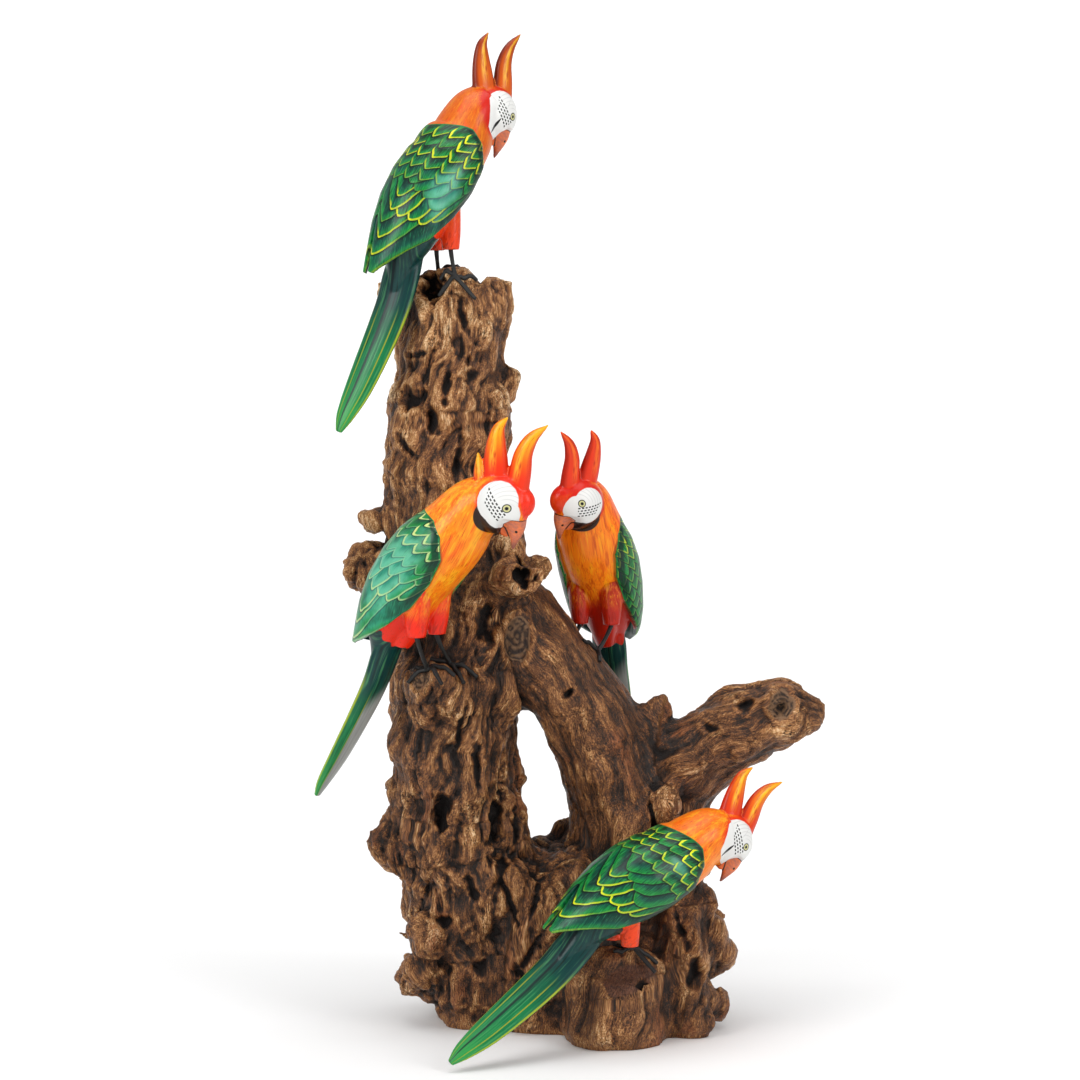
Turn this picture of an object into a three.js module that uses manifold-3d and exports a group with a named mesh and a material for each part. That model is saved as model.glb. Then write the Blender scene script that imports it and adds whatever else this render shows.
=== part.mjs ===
// Four painted wooden parrots perched on a gnarled, sawn-off tree root.
// Millimetres, +Z up, the viewer stands on the -Y side. The origin is on the sawn underside of the root.
// Each parrot is carved from one block, with its head, crest, wings and tail. Its legs are bent iron wire
// that is pegged into the thighs and clamps over the root, which is one piece of wood.
import * as THREE from "three";
import { mergeVertices } from "three/addons/utils/BufferGeometryUtils.js";
import Module from "manifold-3d";

const wasm = await Module();
wasm.setup();

// Driving dimensions
const WIRE_R = 2.3; // leg wire and toes
const PEG_DEPTH = 9; // how far the leg wire goes up into the thigh
const GAP = 0.3; // air between pieces that touch
const FLOOR_Z = 0; // level of the sawn underside
const NECK_START = 70; // height above which a parrot's spine bends to its head
const HEAD_FORWARD = 38; // how far forward the spine ends on a parrot whose neck isn't bent
const HEAD_HEIGHT = 160;

const WOOD = new THREE.MeshStandardMaterial({ color: 0x5d4028, roughness: 0.62, metalness: 0 });
const PAINT = new THREE.MeshStandardMaterial({ color: 0xe0661a, roughness: 0.3, metalness: 0 });
const IRON = new THREE.MeshStandardMaterial({ color: 0x1c1b1a, roughness: 0.5, metalness: 0.3 });

const vec = (p) => new THREE.Vector3(...p);
const rad = THREE.MathUtils.degToRad;
const mix = THREE.MathUtils.lerp;

// A closed three.js geometry as a solid that can be joined and cut.
function solid(geometry) {
  const bare = new THREE.BufferGeometry().setAttribute("position", geometry.getAttribute("position"));
  bare.setIndex(geometry.index);
  const merged = mergeVertices(bare, 1e-4);
  const mesh = new wasm.Mesh({
    numProp: 3,
    vertProperties: merged.attributes.position.array,
    triVerts: new Uint32Array(merged.index.array),
  });
  return new wasm.Manifold(mesh);
}

// A solid as a three.js geometry.
function geometryOf(made) {
  const mesh = made.getMesh();
  const places = new Float32Array(mesh.numVert * 3);
  for (let i = 0; i < mesh.numVert; i++) {
    places.set(mesh.vertProperties.subarray(i * mesh.numProp, i * mesh.numProp + 3), i * 3);
  }
  const geometry = new THREE.BufferGeometry();
  geometry.setAttribute("position", new THREE.BufferAttribute(places, 3));
  geometry.setIndex(new THREE.BufferAttribute(mesh.triVerts, 1));
  geometry.computeVertexNormals();
  return geometry;
}

function join(solids) {
  return solids.reduce((all, next) => all.add(next));
}

// The main body of a cut solid, without the slivers that a cut can leave loose.
function mainBody(made) {
  return made.decompose().reduce((most, next) => (next.volume() > most.volume() ? next : most));
}

// Stations [x, y, z, half width, half depth] as two smooth curves, one of centres and one of sizes.
function curvesOf(stations) {
  const centres = stations.map((s) => new THREE.Vector3(s[0], s[1], s[2]));
  const sizes = stations.map((s) => new THREE.Vector3(s[3], s[4], 0));
  return {
    centre: new THREE.CatmullRomCurve3(centres, false, "centripetal"),
    size: new THREE.CatmullRomCurve3(sizes, false, "catmullrom", 0.4),
  };
}

// A rod of changing oval section along its stations. depthAxis is the direction that half depth is measured in.
function rod(stations, { sides = 12, rings = 8, depthAxis = [0, 1, 0], bump = () => 1 } = {}) {
  const { centre, size } = curvesOf(stations);
  const geometry = new THREE.CylinderGeometry(1, 1, 1, sides, rings);
  const place = geometry.getAttribute("position");
  const point = new THREE.Vector3();
  for (let i = 0; i < place.count; i++) {
    point.fromBufferAttribute(place, i);
    const t = 0.5 - point.y;
    const middle = centre.getPoint(t);
    const along = centre.getTangent(t).negate();
    const deep = vec(depthAxis).addScaledVector(along, -vec(depthAxis).dot(along)).normalize();
    const wide = along.clone().cross(deep);
    const half = size.getPoint(t);
    const swell = bump(Math.atan2(point.z, point.x), t, middle);
    point
      .copy(middle)
      .addScaledVector(wide, place.getX(i) * half.x * swell)
      .addScaledVector(deep, place.getZ(i) * half.y * swell);
    place.setXYZ(i, point.x, point.y, point.z);
  }
  return solid(geometry);
}

// An egg of three half sizes about a centre.
function egg(centre, half, sides = 12, rings = 8) {
  const geometry = new THREE.SphereGeometry(1, sides, rings);
  geometry.rotateX(Math.PI / 2);
  geometry.scale(...half);
  geometry.translate(...centre);
  return solid(geometry);
}

function block(centre, size) {
  const geometry = new THREE.BoxGeometry(...size);
  geometry.translate(...centre);
  return solid(geometry);
}

// The root

// Uneven growth of a root limb: ribs that wind round it and swellings along it.
function gnarl(amount, seed) {
  return (angle, t, at) =>
    1 +
    amount *
      (0.5 * Math.sin(3 * angle + 7 * t + seed) +
        0.35 * Math.sin(5 * angle - 11 * t + 2.3 * seed) +
        0.3 * Math.sin(at.z / 17 + 2 * angle + seed) +
        0.2 * Math.sin(at.x / 11 - at.y / 13 + seed));
}

// Main limbs of the root, each from one end to the other.
const UPPER_TRUNK = [
  [-108, 6, 392, 60, 58], [-111, 6, 440, 64, 60], [-120, 2, 500, 62, 61], [-125, 0, 560, 62, 60],
  [-124, 0, 600, 63, 60], [-121, 0, 632, 59, 58], [-120, 0, 652, 51, 54], [-118, 0, 690, 50, 52],
  [-117, 2, 722, 51, 50], [-120, 4, 748, 42, 42], [-124, 4, 757, 29, 34],
];
const LEFT_LIMB = [
  [-104, 2, 462, 54, 56], [-108, -8, 400, 58, 62], [-113, -16, 350, 62, 68], [-118, -20, 311, 65, 68],
  [-118, -20, 281, 64, 64], [-114, -16, 245, 62, 62], [-113, -12, 206, 66, 66], [-102, -6, 160, 76, 76],
  [-82, 0, 100, 76, 76], [-70, 4, 40, 68, 66], [-68, 4, -12, 58, 60],
];
const SLANTED_LIMB = [
  [-100, 4, 462, 40, 48], [-64, -2, 402, 50, 52], [-13, -4, 345, 51, 50], [29, -3, 286, 50, 50],
  [54, 3, 226, 56, 56], [62, 10, 160, 62, 62], [56, 10, 90, 74, 70], [48, 8, -12, 72, 66],
];
const RIGHT_SIDE = [
  [104, 8, 262, 32, 36], [100, 8, 214, 48, 52], [88, 8, 156, 46, 60], [88, 4, 100, 46, 70], [88, -2, 50, 54, 78],
  [80, -4, -12, 50, 76],
];
const RIGHT_BRANCH = [
  [62, 6, 205, 38, 42], [104, 6, 248, 44, 47], [148, 2, 284, 43, 44], [186, -2, 304, 37, 40],
  [222, -3, 311, 31, 34], [240, -3, 314, 16, 18],
];
const BASE = [
  [-8, 4, 176, 40, 56], [-8, 4, 128, 98, 82], [-8, 4, 76, 120, 88], [-4, 4, 24, 112, 80], [-4, 4, -12, 104, 74],
];
const FRONT_STUB = [
  [46, -88, 89, 40, 34], [45, -91, 80, 48, 42], [43, -94, 46, 52, 48], [42, -90, 8, 54, 50], [42, -88, -12, 50, 46],
];
const LEFT_FOOT = [
  [-88, -22, 96, 40, 36], [-100, -24, 52, 40, 36], [-98, -22, 14, 34, 32], [-96, -20, -12, 28, 28],
];
const LEDGE = [
  [-122, -46, 290, 34, 30], [-130, -64, 330, 34, 36], [-134, -74, 358, 32, 37], [-136, -76, 371, 26, 32],
];

// Small growths: stumps of side roots, lumps and spikes, from where they leave a limb to their tips.
const GROWTHS = [
  [[-140, 2, 488, 22, 28], [-178, 0, 506, 15, 22], [-206, -2, 510, 8, 12], [-215, -3, 508, 3, 4]],
  [[-146, 4, 452, 36, 30], [-190, 4, 454, 36, 26], [-218, 4, 460, 24, 18], [-228, 4, 464, 8, 8]],
  [[-80, -30, 448, 24, 26], [-58, -56, 453, 23, 24], [-50, -84, 454, 22, 22], [-48, -94, 454, 18, 18]],
  [[-140, 6, 690, 20, 22], [-172, 10, 722, 13, 16], [-190, 12, 738, 7, 9], [-194, 12, 745, 3, 4]],
  [[-88, 0, 686, 26, 26], [-77, -2, 716, 21, 20], [-72, -4, 742, 19, 15], [-73, -4, 750, 15, 11]],
  [[-82, -4, 600, 16, 16], [-62, -6, 632, 10, 11], [-57, -6, 652, 9, 9], [-57, -6, 662, 5, 5]],
  [[74, -2, 292, 30, 26], [82, -4, 312, 20, 16], [88, -4, 326, 9, 8], [88, -4, 336, 3, 3]],
  [[146, 8, 308, 22, 20], [176, 6, 328, 18, 18], [214, 2, 331, 18, 18], [232, 0, 322, 12, 12]],
  [[224, -4, 310, 24, 22], [242, -6, 314, 15, 14], [255, -6, 317, 5, 5]],
  [[-148, -10, 172, 34, 30], [-184, -12, 174, 22, 22], [-200, -12, 182, 12, 13], [-205, -12, 184, 7, 8]],
  [[-152, -8, 222, 20, 20], [-191, -10, 238, 4, 5]],
  [[-118, -16, 44, 34, 30], [-150, -18, 46, 25, 23], [-168, -18, 48, 18, 17], [-173, -18, 50, 11, 12]],
  [[118, -8, 54, 34, 32], [142, -8, 60, 20, 20], [158, -8, 64, 11, 12], [162, -8, 66, 6, 7]],
  [[-124, -34, 220, 26, 20], [-126, -48, 170, 32, 26], [-118, -48, 124, 28, 24]],
  [[104, -40, 150, 24, 24], [110, -60, 96, 28, 28], [106, -62, 40, 34, 30], [100, -58, -12, 30, 26]],
  [[10, 50, 196, 34, 24], [18, 70, 110, 44, 30], [22, 76, 40, 46, 34], [22, 72, -12, 42, 28]],
  [[-88, 44, 236, 30, 22], [-92, 62, 130, 40, 30], [-88, 66, 50, 42, 34], [-86, 62, -12, 36, 28]],
  [[-122, 46, 640, 26, 16], [-110, 54, 560, 30, 20], [-100, 58, 470, 32, 22], [-98, 50, 400, 28, 18]],
];

// Holes, rotted hollows and clefts as eggs: centre, half sizes.
const HOLLOWS = [
  [[-137, -34, 740], [13, 30, 27]], [[-96, -10, 768], [9, 40, 24]], [[-50, -98, 454], [14, 20, 16]],
  [[-174, -30, 380], [32, 90, 9]], [[-158, -52, 629], [12, 20, 14]], [[-137, -64, 602], [7, 16, 20]],
  [[-129, -78, 210], [13, 26, 21]], [[-72, -66, 204], [8, 22, 32]], [[-143, -74, 132], [13, 20, 15]],
  [[125, -90, 44], [11, 24, 15]], [[174, -46, 322], [9, 18, 9]], [[-150, 60, 560], [14, 20, 26]],
];

// The loop of the root is open between the left limb and the slanted limb.
const LOOP_OPENING = [
  [-47, 0, 316, 6, 150], [-42, 0, 300, 13, 150], [-36, 0, 276, 18, 150], [-33, 0, 245, 19, 150],
  [-33, 0, 216, 16, 150], [-34, 0, 192, 11, 150], [-34, 0, 176, 5, 150],
];

// The saw cut across the front stub slopes forward.
const STUB_CUT = { edge: [43, -120, 79], size: [116, 70, 60], slope: 42 };

function makeRoot() {
  const big = (stations, seed, rings) => rod(stations, { sides: 9, rings, bump: gnarl(0.1, seed) });
  const limbs = [
    big(UPPER_TRUNK, 0.4, 8), big(LEFT_LIMB, 1.7, 8), big(SLANTED_LIMB, 3.1, 7), big(RIGHT_SIDE, 4.2, 4),
    big(RIGHT_BRANCH, 5.6, 5), big(BASE, 2.2, 3), big(FRONT_STUB, 0.9, 3), big(LEFT_FOOT, 2.9, 3), big(LEDGE, 6.1, 3),
  ];
  const growths = GROWTHS.map((stations, i) => {
    const [from, to] = [stations[0], stations.at(-1)];
    const forward = Math.abs(to[1] - from[1]) > Math.max(Math.abs(to[0] - from[0]), Math.abs(to[2] - from[2]));
    const depthAxis = forward ? [0, 0, 1] : [0, 1, 0];
    return rod(stations, { sides: 5, rings: stations.length - 1, depthAxis, bump: gnarl(0.12, i) });
  });
  const hollows = HOLLOWS.map(([centre, half]) => egg(centre, half, 5, 3));
  const opening = rod(LOOP_OPENING, { sides: 4, rings: 6 });
  const belowFloor = block([0, 0, FLOOR_Z - 100], [900, 900, 200]);
  return join([...limbs, ...growths]).subtract(join([...hollows, opening, stubCut(), belowFloor]));
}

function stubCut() {
  const { edge, size, slope } = STUB_CUT;
  const geometry = new THREE.BoxGeometry(...size);
  geometry.translate(0, -size[1] / 2, size[2] / 2);
  geometry.rotateX(rad(slope));
  geometry.translate(...edge);
  return solid(geometry);
}

// The parrots, in their own frame: origin between the hips, +Z up the spine, +X to the breast, +Y to the left.
const BODY = [
  [-2, 0, -52, 5, 8], [-5, 0, -30, 12, 16], [-9, 0, -5, 23, 28], [-10, 0, 25, 31.5, 36.5], [-9, 0, 50, 34.5, 39],
  [-5, 0, 70, 36, 40], [-1, 0, 85, 36.5, 39.5], [3, 0, 100, 36.5, 38], [7, 0, 115, 34.5, 36], [10, 0, 130, 31.5, 32],
  [16, 0, 146, 29, 29], [26, 0, 160, 24, 24],
];
const TAIL = [
  [-5, 0, 0, 12, 16], [-1, 0, -32, 10, 19.5], [3, 0, -62, 8.5, 19], [4, 0, -100, 7.5, 18], [3, 0, -150, 6, 15],
  [1, 0, -182, 4.5, 10], [1, 0, -200, 2.5, 3.5],
];
const UNDERTAIL = [[4, 0, 20, 18, 20], [8, 0, -6, 14, 16], [10, 0, -30, 8, 10]];

// In the head's frame, about its centre. The skull is cut away for the beak below its corner at x, z, forward of a
// plane and below another that slopes up to the front.
const SKULL = { centre: [-1.5, 0, 1], half: [29.5, 25.5, 29] };
const BROW = { centre: [13.5, 0, 11.5], half: [16.5, 13, 16] };
const JAW = { corner: [6.5, -6.3], slope: 17.6, size: 80 };
const UPPER_BEAK = [
  [11, 0, 4, 12.5, 11.5], [16.5, 0, -3, 12, 11.5], [21.8, 0, -10.5, 9.9, 9], [25, 0, -17.5, 6.7, 6],
  [27, 0, -24, 3.8, 3.6], [29, 0, -32, 1.2, 1.2],
];
const LOWER_BEAK = [[2, 0, -13, 7.5, 9], [9, 0, -18, 6.8, 8], [14.5, 0, -21, 4.5, 5.5], [19.5, 0, -23, 1.5, 2]];
const FRONT_PLUME = [
  [7, 0, 20, 12, 9], [2, 0, 38, 11, 7.5], [-3, 0, 56, 9, 6], [-2, 0, 74, 6, 4.2], [6, 0, 92, 1, 0.8],
];
const REAR_PLUME = [
  [-15, 0, 18, 13, 9], [-24, 0, 36, 12, 7.5], [-31, 0, 51, 9.5, 6], [-35, 0, 65, 6, 4.2], [-32, 0, 79, 1, 0.8],
];
const SMALL_PLUME = [[-22, 0, 8, 10, 7], [-32, 0, 19, 7.5, 5], [-43, 0, 34, 1, 1]];

// The wing lies on an oval about the body, from the shoulder down to a free tip.
// Each row: height, oval's middle, half depth, half width, front edge and back edge in degrees from the breast,
// thickness, and how many degrees the front edge of a tightly folded wing lies further back.
const WING = [
  [124, 8, 32, 32, 112, 180, 7, 0], [112, 5, 39, 38, 76, 180, 9, 2], [92, 0, 43, 42.5, 54, 180, 11, 0],
  [64, -6, 43, 45, 44, 180, 12, 0], [34, -9, 42, 44, 47, 179, 12, 8], [4, -9, 39, 41, 62, 177, 11, 16],
  [-14, -6, 38.5, 37, 80, 174, 8, 26], [-32, -3, 38, 31, 108, 171, 6, 24], [-46, 0, 38, 27, 142, 167, 4, 14],
];
const WING_BEND = 34; // height below which a wing is shortened by its reach
const NAPE = { start: 100, end: 180, top: 124, base: 64 }; // where the wing's upper edge drops towards the back

function sample(rows, t) {
  const place = t * (rows.length - 1);
  const i = Math.min(Math.floor(place), rows.length - 2);
  return rows[i].map((value, k) => mix(value, rows[i + 1][k], place - i));
}

// A wing that is folded to its own degree, reaches as far as its own share and drops at the nape by napeDrop.
function wing({ fold, reach, napeDrop }, side, across, down) {
  const geometry = new THREE.BoxGeometry(1, 1, 1, across, down, 1);
  const { smoothstep, clamp } = THREE.MathUtils;
  const place = geometry.getAttribute("position");
  for (let i = 0; i < place.count; i++) {
    const [height, middle, deep, wide, front, back, thick, folded] = sample(WING, 0.5 - place.getY(i));
    const degrees = mix(front + folded * fold, back, 0.5 - place.getX(i));
    const angle = rad(degrees);
    const upper = clamp((height - NAPE.base) / (NAPE.top - NAPE.base), 0, 1);
    const drop = napeDrop * upper * smoothstep(degrees, NAPE.start, NAPE.end);
    const z = height < WING_BEND ? mix(WING_BEND, height, reach) : height - drop;
    const inset = place.getZ(i) > 0 ? 0 : thick;
    const x = middle + (deep - inset) * Math.cos(angle);
    const y = (wide - inset) * Math.sin(angle);
    place.setXYZ(i, x, side * y, z);
  }
  if (side > 0) flip(geometry);
  return solid(geometry);
}

function flip(geometry) {
  const index = geometry.index;
  for (let i = 0; i < index.count; i += 3) {
    const first = index.getX(i);
    index.setX(i, index.getX(i + 1));
    index.setX(i + 1, first);
  }
}

// Moves a solid by a matrix.
function moved(made, matrix) {
  return solid(geometryOf(made).applyMatrix4(matrix));
}

// How each parrot sits: hips in the root's frame, heading of the breast, forward lean, size of the parrot, middle of
// the head in the parrot's frame, turn and nod of the head, backward tilt of the crest, size of the head, and the feet.
// How tightly its wings are folded, how far they reach and how far their upper edge drops at the nape; the size of
// the undertail (0 is none) and of the thighs; the turn of the tail about its length; and the number of plumes.
const PERCHES = {
  top: {
    hips: [-154, -30, 779], heading: 25, lean: 24.2, size: 1, head: [22, 0, 150], headTurn: 10, headNod: 10,
    crestTilt: -14, headSize: 0.92, feet: { right: [-112, -35], left: [-130, 14] },
    fold: 1, reach: 1, napeDrop: 10, undertail: 0, thighs: 0.75, tailTurn: 42, plumes: 2,
  },
  left: {
    hips: [-166, -100, 410], heading: -30, lean: 30, size: 1, head: [38, 0, 161], headTurn: 14, headNod: 0,
    crestTilt: 0, headSize: 1, feet: { right: [-140, -98], left: [-119, -78] },
    fold: 0.4, reach: 0.9, napeDrop: 4, undertail: 0.72, thighs: 1, tailTurn: -4, plumes: 3,
  },
  right: {
    hips: [35, 50, 404], heading: -110, lean: 25, size: 0.93, head: [30, 0, 156], headTurn: -38, headNod: 0,
    crestTilt: -4, headSize: 0.97, feet: { right: [2, 26], left: [27, 8] },
    fold: 0.2, reach: 1, napeDrop: 4, undertail: 1, thighs: 1, tailTurn: 0, plumes: 2,
  },
  front: {
    hips: [26, -145, 126], heading: 26, lean: 53.7, size: 0.98, head: [20, 0, 155], headTurn: 2, headNod: 8,
    crestTilt: -10, headSize: 0.9, feet: { right: [60, -121], left: [44, -94] },
    fold: 1, reach: 1, napeDrop: 12, undertail: 0, thighs: 0.75, tailTurn: 42, plumes: 2,
  },
};

function birdMatrix({ hips, heading, lean, size }) {
  const turned = new THREE.Matrix4().makeRotationZ(rad(heading));
  const leant = new THREE.Matrix4().makeRotationY(rad(lean));
  const sized = new THREE.Matrix4().makeScale(size, size, size);
  return new THREE.Matrix4().setPosition(...hips).multiply(turned).multiply(leant).multiply(sized);
}

function headMatrix({ head, headTurn, headNod, headSize }) {
  const turned = new THREE.Matrix4().makeRotationZ(rad(headTurn));
  const nodded = new THREE.Matrix4().makeRotationY(rad(headNod));
  const sized = new THREE.Matrix4().makeScale(headSize, headSize, headSize);
  return new THREE.Matrix4().setPosition(...head).multiply(turned).multiply(nodded).multiply(sized);
}

// The body's stations with the neck bent so that it ends in the head.
function bodyStations({ head }) {
  return BODY.map(([x, y, z, wide, deep]) => {
    const share = Math.max(0, (z - NECK_START) / (HEAD_HEIGHT - NECK_START));
    return [x + (head[0] - HEAD_FORWARD) * share, y, z, wide, deep];
  });
}

// A thigh ends beside the belly and hangs straight down from the body.
const THIGH = { end: [30, 18, 8], length: 46, top: [15, 16], bottom: [7.5, 8] };

function thighLine({ lean }, side) {
  const up = new THREE.Vector3(-Math.sin(rad(lean)), 0, Math.cos(rad(lean)));
  const end = new THREE.Vector3(THIGH.end[0], side * THIGH.end[1], THIGH.end[2]);
  return { start: end.clone().addScaledVector(up, THIGH.length), end };
}

function thigh(perch, side) {
  const { start, end } = thighLine(perch, side);
  const top = THIGH.top.map((half) => half * perch.thighs);
  const stations = [[...start.toArray(), ...top], [...end.toArray(), ...THIGH.bottom]];
  return rod(stations, { sides: 5, rings: 1 });
}

// The skull, cut away for the beak.
function skull() {
  const { corner, slope, size } = JAW;
  const cut = new THREE.BoxGeometry(size, size, size);
  cut.translate(size / 2, 0, -size / 2);
  cut.rotateY(-rad(slope));
  cut.translate(corner[0], 0, corner[1]);
  return egg(SKULL.centre, SKULL.half, 8, 5).subtract(solid(cut));
}

// The red feathers under the tail, shortened towards their root.
function undertail(share) {
  const root = UNDERTAIL[0];
  const stations = UNDERTAIL.map((station) => station.map((value, k) => (k === 2 ? mix(root[2], value, share) : value)));
  return rod(stations, { depthAxis: [0, 1, 0], sides: 5, rings: 1 });
}

function makeParrot(perch, sockets) {
  const side = { depthAxis: [0, 1, 0] };
  const plume = { ...side, sides: 4, rings: 4 };
  const tilt = new THREE.Matrix4().makeRotationY(rad(perch.crestTilt));
  const plumes = [rod(FRONT_PLUME, plume), rod(REAR_PLUME, plume), rod(SMALL_PLUME, { ...plume, rings: 2 })];
  const crest = join(plumes.slice(0, perch.plumes));
  const head = join([
    skull(), egg(BROW.centre, BROW.half, 5, 4), moved(crest, tilt),
    rod(UPPER_BEAK, { ...side, sides: 5, rings: 4 }), rod(LOWER_BEAK, { ...side, sides: 4, rings: 2 }),
  ]);
  const turn = rad(perch.tailTurn);
  const tail = rod(TAIL, { depthAxis: [-Math.sin(turn), Math.cos(turn), 0], sides: 6, rings: 4 });
  const forms = [
    rod(bodyStations(perch), { ...side, sides: 8, rings: 7 }), tail, wing(perch, 1, 3, 4), wing(perch, -1, 3, 4),
    thigh(perch, 1), thigh(perch, -1), moved(head, headMatrix(perch)),
  ];
  if (perch.undertail) forms.push(undertail(perch.undertail));
  return mainBody(join(forms).subtract(join(sockets)));
}

// The legs: iron wire from a peg in the thigh down to the foot, where two wires cross under it as four toes.

// Each crossing wire is a front toe and a hind toe: turn from the heading, and reaches of its bends from the ankle.
const TOE_WIRES = [
  [{ turn: 24, reaches: [13, 26] }, { turn: 196, reaches: [19] }],
  [{ turn: -26, reaches: [13, 25] }, { turn: 158, reaches: [18] }],
];

function wire(points, radius, depthAxis) {
  const stations = points.map((point) => [...point.toArray(), radius, radius]);
  return rod(stations, { sides: 4, rings: points.length - 1, depthAxis });
}

// Gives a function that finds where a line straight down at x, y first meets the root.
function surfaceFinder(rootMesh) {
  const ray = new THREE.Raycaster();
  return (x, y, from) => {
    ray.set(new THREE.Vector3(x, y, from), new THREE.Vector3(0, 0, -1));
    return ray.intersectObject(rootMesh)[0];
  };
}

// The middle lines of one leg's wires in the root's frame.
function legLines(perch, side, sideName, findSurface) {
  const matrix = birdMatrix(perch);
  const { start, end } = thighLine(perch, side);
  const knee = end.clone().applyMatrix4(matrix);
  const up = start.clone().applyMatrix4(matrix).sub(knee).normalize();
  const lift = WIRE_R + 2.2 * GAP;
  const [x, y] = perch.feet[sideName];
  const ground = findSurface(x, y, knee.z + 30);
  const ankle = new THREE.Vector3(x, y, ground.point.z + lift);
  const pegTop = knee.clone().addScaledVector(up, PEG_DEPTH);
  // A toe follows the root outwards from the ankle.
  const toe = ({ turn, reaches }) => {
    const way = rad(perch.heading + turn);
    const line = [ankle];
    for (const reach of reaches) {
      const tip = [x + Math.cos(way) * reach, y + Math.sin(way) * reach];
      const hit = findSurface(...tip, ankle.z + 14);
      const drop = hit ? hit.point.z + lift : -Infinity;
      const last = line.at(-1);
      line.push(new THREE.Vector3(...tip, THREE.MathUtils.clamp(drop, last.z - 16, last.z + 9)));
    }
    return line;
  };
  const toes = TOE_WIRES.map(([front, hind]) => [...toe(front).reverse(), ...toe(hind).slice(1)]);
  return { shank: [pegTop, knee, ankle], toes };
}

function legSolid({ shank, toes }, radius) {
  return join([wire(shank, radius, [0, 1, 0]), ...toes.map((line) => wire(line, radius, [0, 0, 1]))]);
}

// Assembly

const sides = { left: 1, right: -1 };
const roughRoot = makeRoot();
const findSurface = surfaceFinder(new THREE.Mesh(geometryOf(roughRoot), WOOD));

const model = new THREE.Group();
const clearance = [];

function addMesh(name, made, material, matrix = new THREE.Matrix4()) {
  const mesh = new THREE.Mesh(geometryOf(made), material);
  mesh.name = name;
  mesh.applyMatrix4(matrix);
  model.add(mesh);
}

for (const [perchName, perch] of Object.entries(PERCHES)) {
  const matrix = birdMatrix(perch);
  const toBird = matrix.clone().invert();
  const sockets = [];
  for (const [sideName, side] of Object.entries(sides)) {
    const lines = legLines(perch, side, sideName, findSurface);
    addMesh(`${perchName}_parrot_${sideName}_leg`, legSolid(lines, WIRE_R), IRON);
    clearance.push(legSolid(lines, WIRE_R + 2 * GAP));
    sockets.push(moved(wire(lines.shank, WIRE_R + 2 * GAP, [0, 1, 0]), toBird));
  }
  addMesh(`${perchName}_parrot`, makeParrot(perch, sockets), PAINT, matrix);
}

addMesh("driftwood_root", mainBody(roughRoot.subtract(join(clearance))), WOOD);

export default model;
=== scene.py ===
import math

import bmesh
import bpy
import numpy as np
from mathutils import Matrix, Vector
from mathutils.bvhtree import BVHTree


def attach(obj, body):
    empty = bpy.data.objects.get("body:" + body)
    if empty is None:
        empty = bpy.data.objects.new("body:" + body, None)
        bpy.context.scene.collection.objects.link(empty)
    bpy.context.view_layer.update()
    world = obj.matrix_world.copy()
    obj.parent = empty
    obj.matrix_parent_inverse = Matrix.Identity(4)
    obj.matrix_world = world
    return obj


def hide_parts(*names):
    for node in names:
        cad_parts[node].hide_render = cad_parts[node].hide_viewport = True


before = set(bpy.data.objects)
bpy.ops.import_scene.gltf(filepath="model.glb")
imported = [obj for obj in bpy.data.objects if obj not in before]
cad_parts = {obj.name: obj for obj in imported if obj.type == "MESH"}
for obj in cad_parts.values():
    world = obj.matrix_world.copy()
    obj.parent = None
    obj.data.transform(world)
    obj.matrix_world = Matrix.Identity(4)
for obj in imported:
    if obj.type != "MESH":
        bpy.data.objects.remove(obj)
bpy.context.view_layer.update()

MM = 0.001


# Camera, backdrop and light.
# A plain pale card runs from the floor up into the back wall. Large soft boxes stand at the left, at the
# right and above, as in a small product studio, and one more lights the card.
EYE = Vector((-0.031, -2.9, 0.700))
AIM = Vector((-0.031, 0.0, 0.48597))
LENS = 96.93

camera = bpy.data.objects.new("camera", bpy.data.cameras.new("camera"))
camera.location = EYE
camera.rotation_euler = (AIM - EYE).to_track_quat("-Z", "Y").to_euler()
camera.data.lens = LENS
camera.data.sensor_width = 36
camera.data.clip_end = 40
scene = bpy.context.scene
scene.collection.objects.link(camera)
scene.camera = camera
scene.view_settings.view_transform = "Standard"


class Value:
    """A socket of a finish's nodes that can be added, multiplied and compared."""

    def __init__(self, finish, socket):
        self.finish = finish
        self.socket = socket

    def maths(self, operation, *others):
        sockets = dict(enumerate((self, *others)))
        return self.finish.node("ShaderNodeMath", {"operation": operation}, sockets)

    def __add__(self, other):
        return self.maths("ADD", other)

    def __radd__(self, other):
        return self.maths("ADD", other)

    def __sub__(self, other):
        return self.maths("SUBTRACT", other)

    def __rsub__(self, other):
        return self.maths("MULTIPLY_ADD", -1.0, other)

    def __mul__(self, other):
        return self.maths("MULTIPLY", other)

    def __rmul__(self, other):
        return self.maths("MULTIPLY", other)

    def __truediv__(self, other):
        return self.maths("DIVIDE", other)

    def __neg__(self):
        return self.maths("MULTIPLY", -1.0)

    def __abs__(self):
        return self.maths("ABSOLUTE")

    def floor(self):
        return self.maths("FLOOR")

    def part(self):
        return self.maths("FRACT")

    def wave(self):
        return self.maths("SINE")

    def least(self, other):
        return self.maths("MINIMUM", other)

    def most(self, other):
        return self.maths("MAXIMUM", other)

    def root(self):
        return self.maths("SQRT")

    def span(self, *others):
        """The straight distance whose sides are this and the others."""
        total = self * self
        for other in others:
            total = total + other * other
        return total.root()

    def rise(self, start, end):
        """0 below start, 1 above end and smooth between; start may be the larger."""
        sockets = {"Value": self, "From Min": start, "From Max": end, "To Min": 0.0, "To Max": 1.0}
        return self.finish.node("ShaderNodeMapRange", {"interpolation_type": "SMOOTHSTEP"}, sockets)


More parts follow.
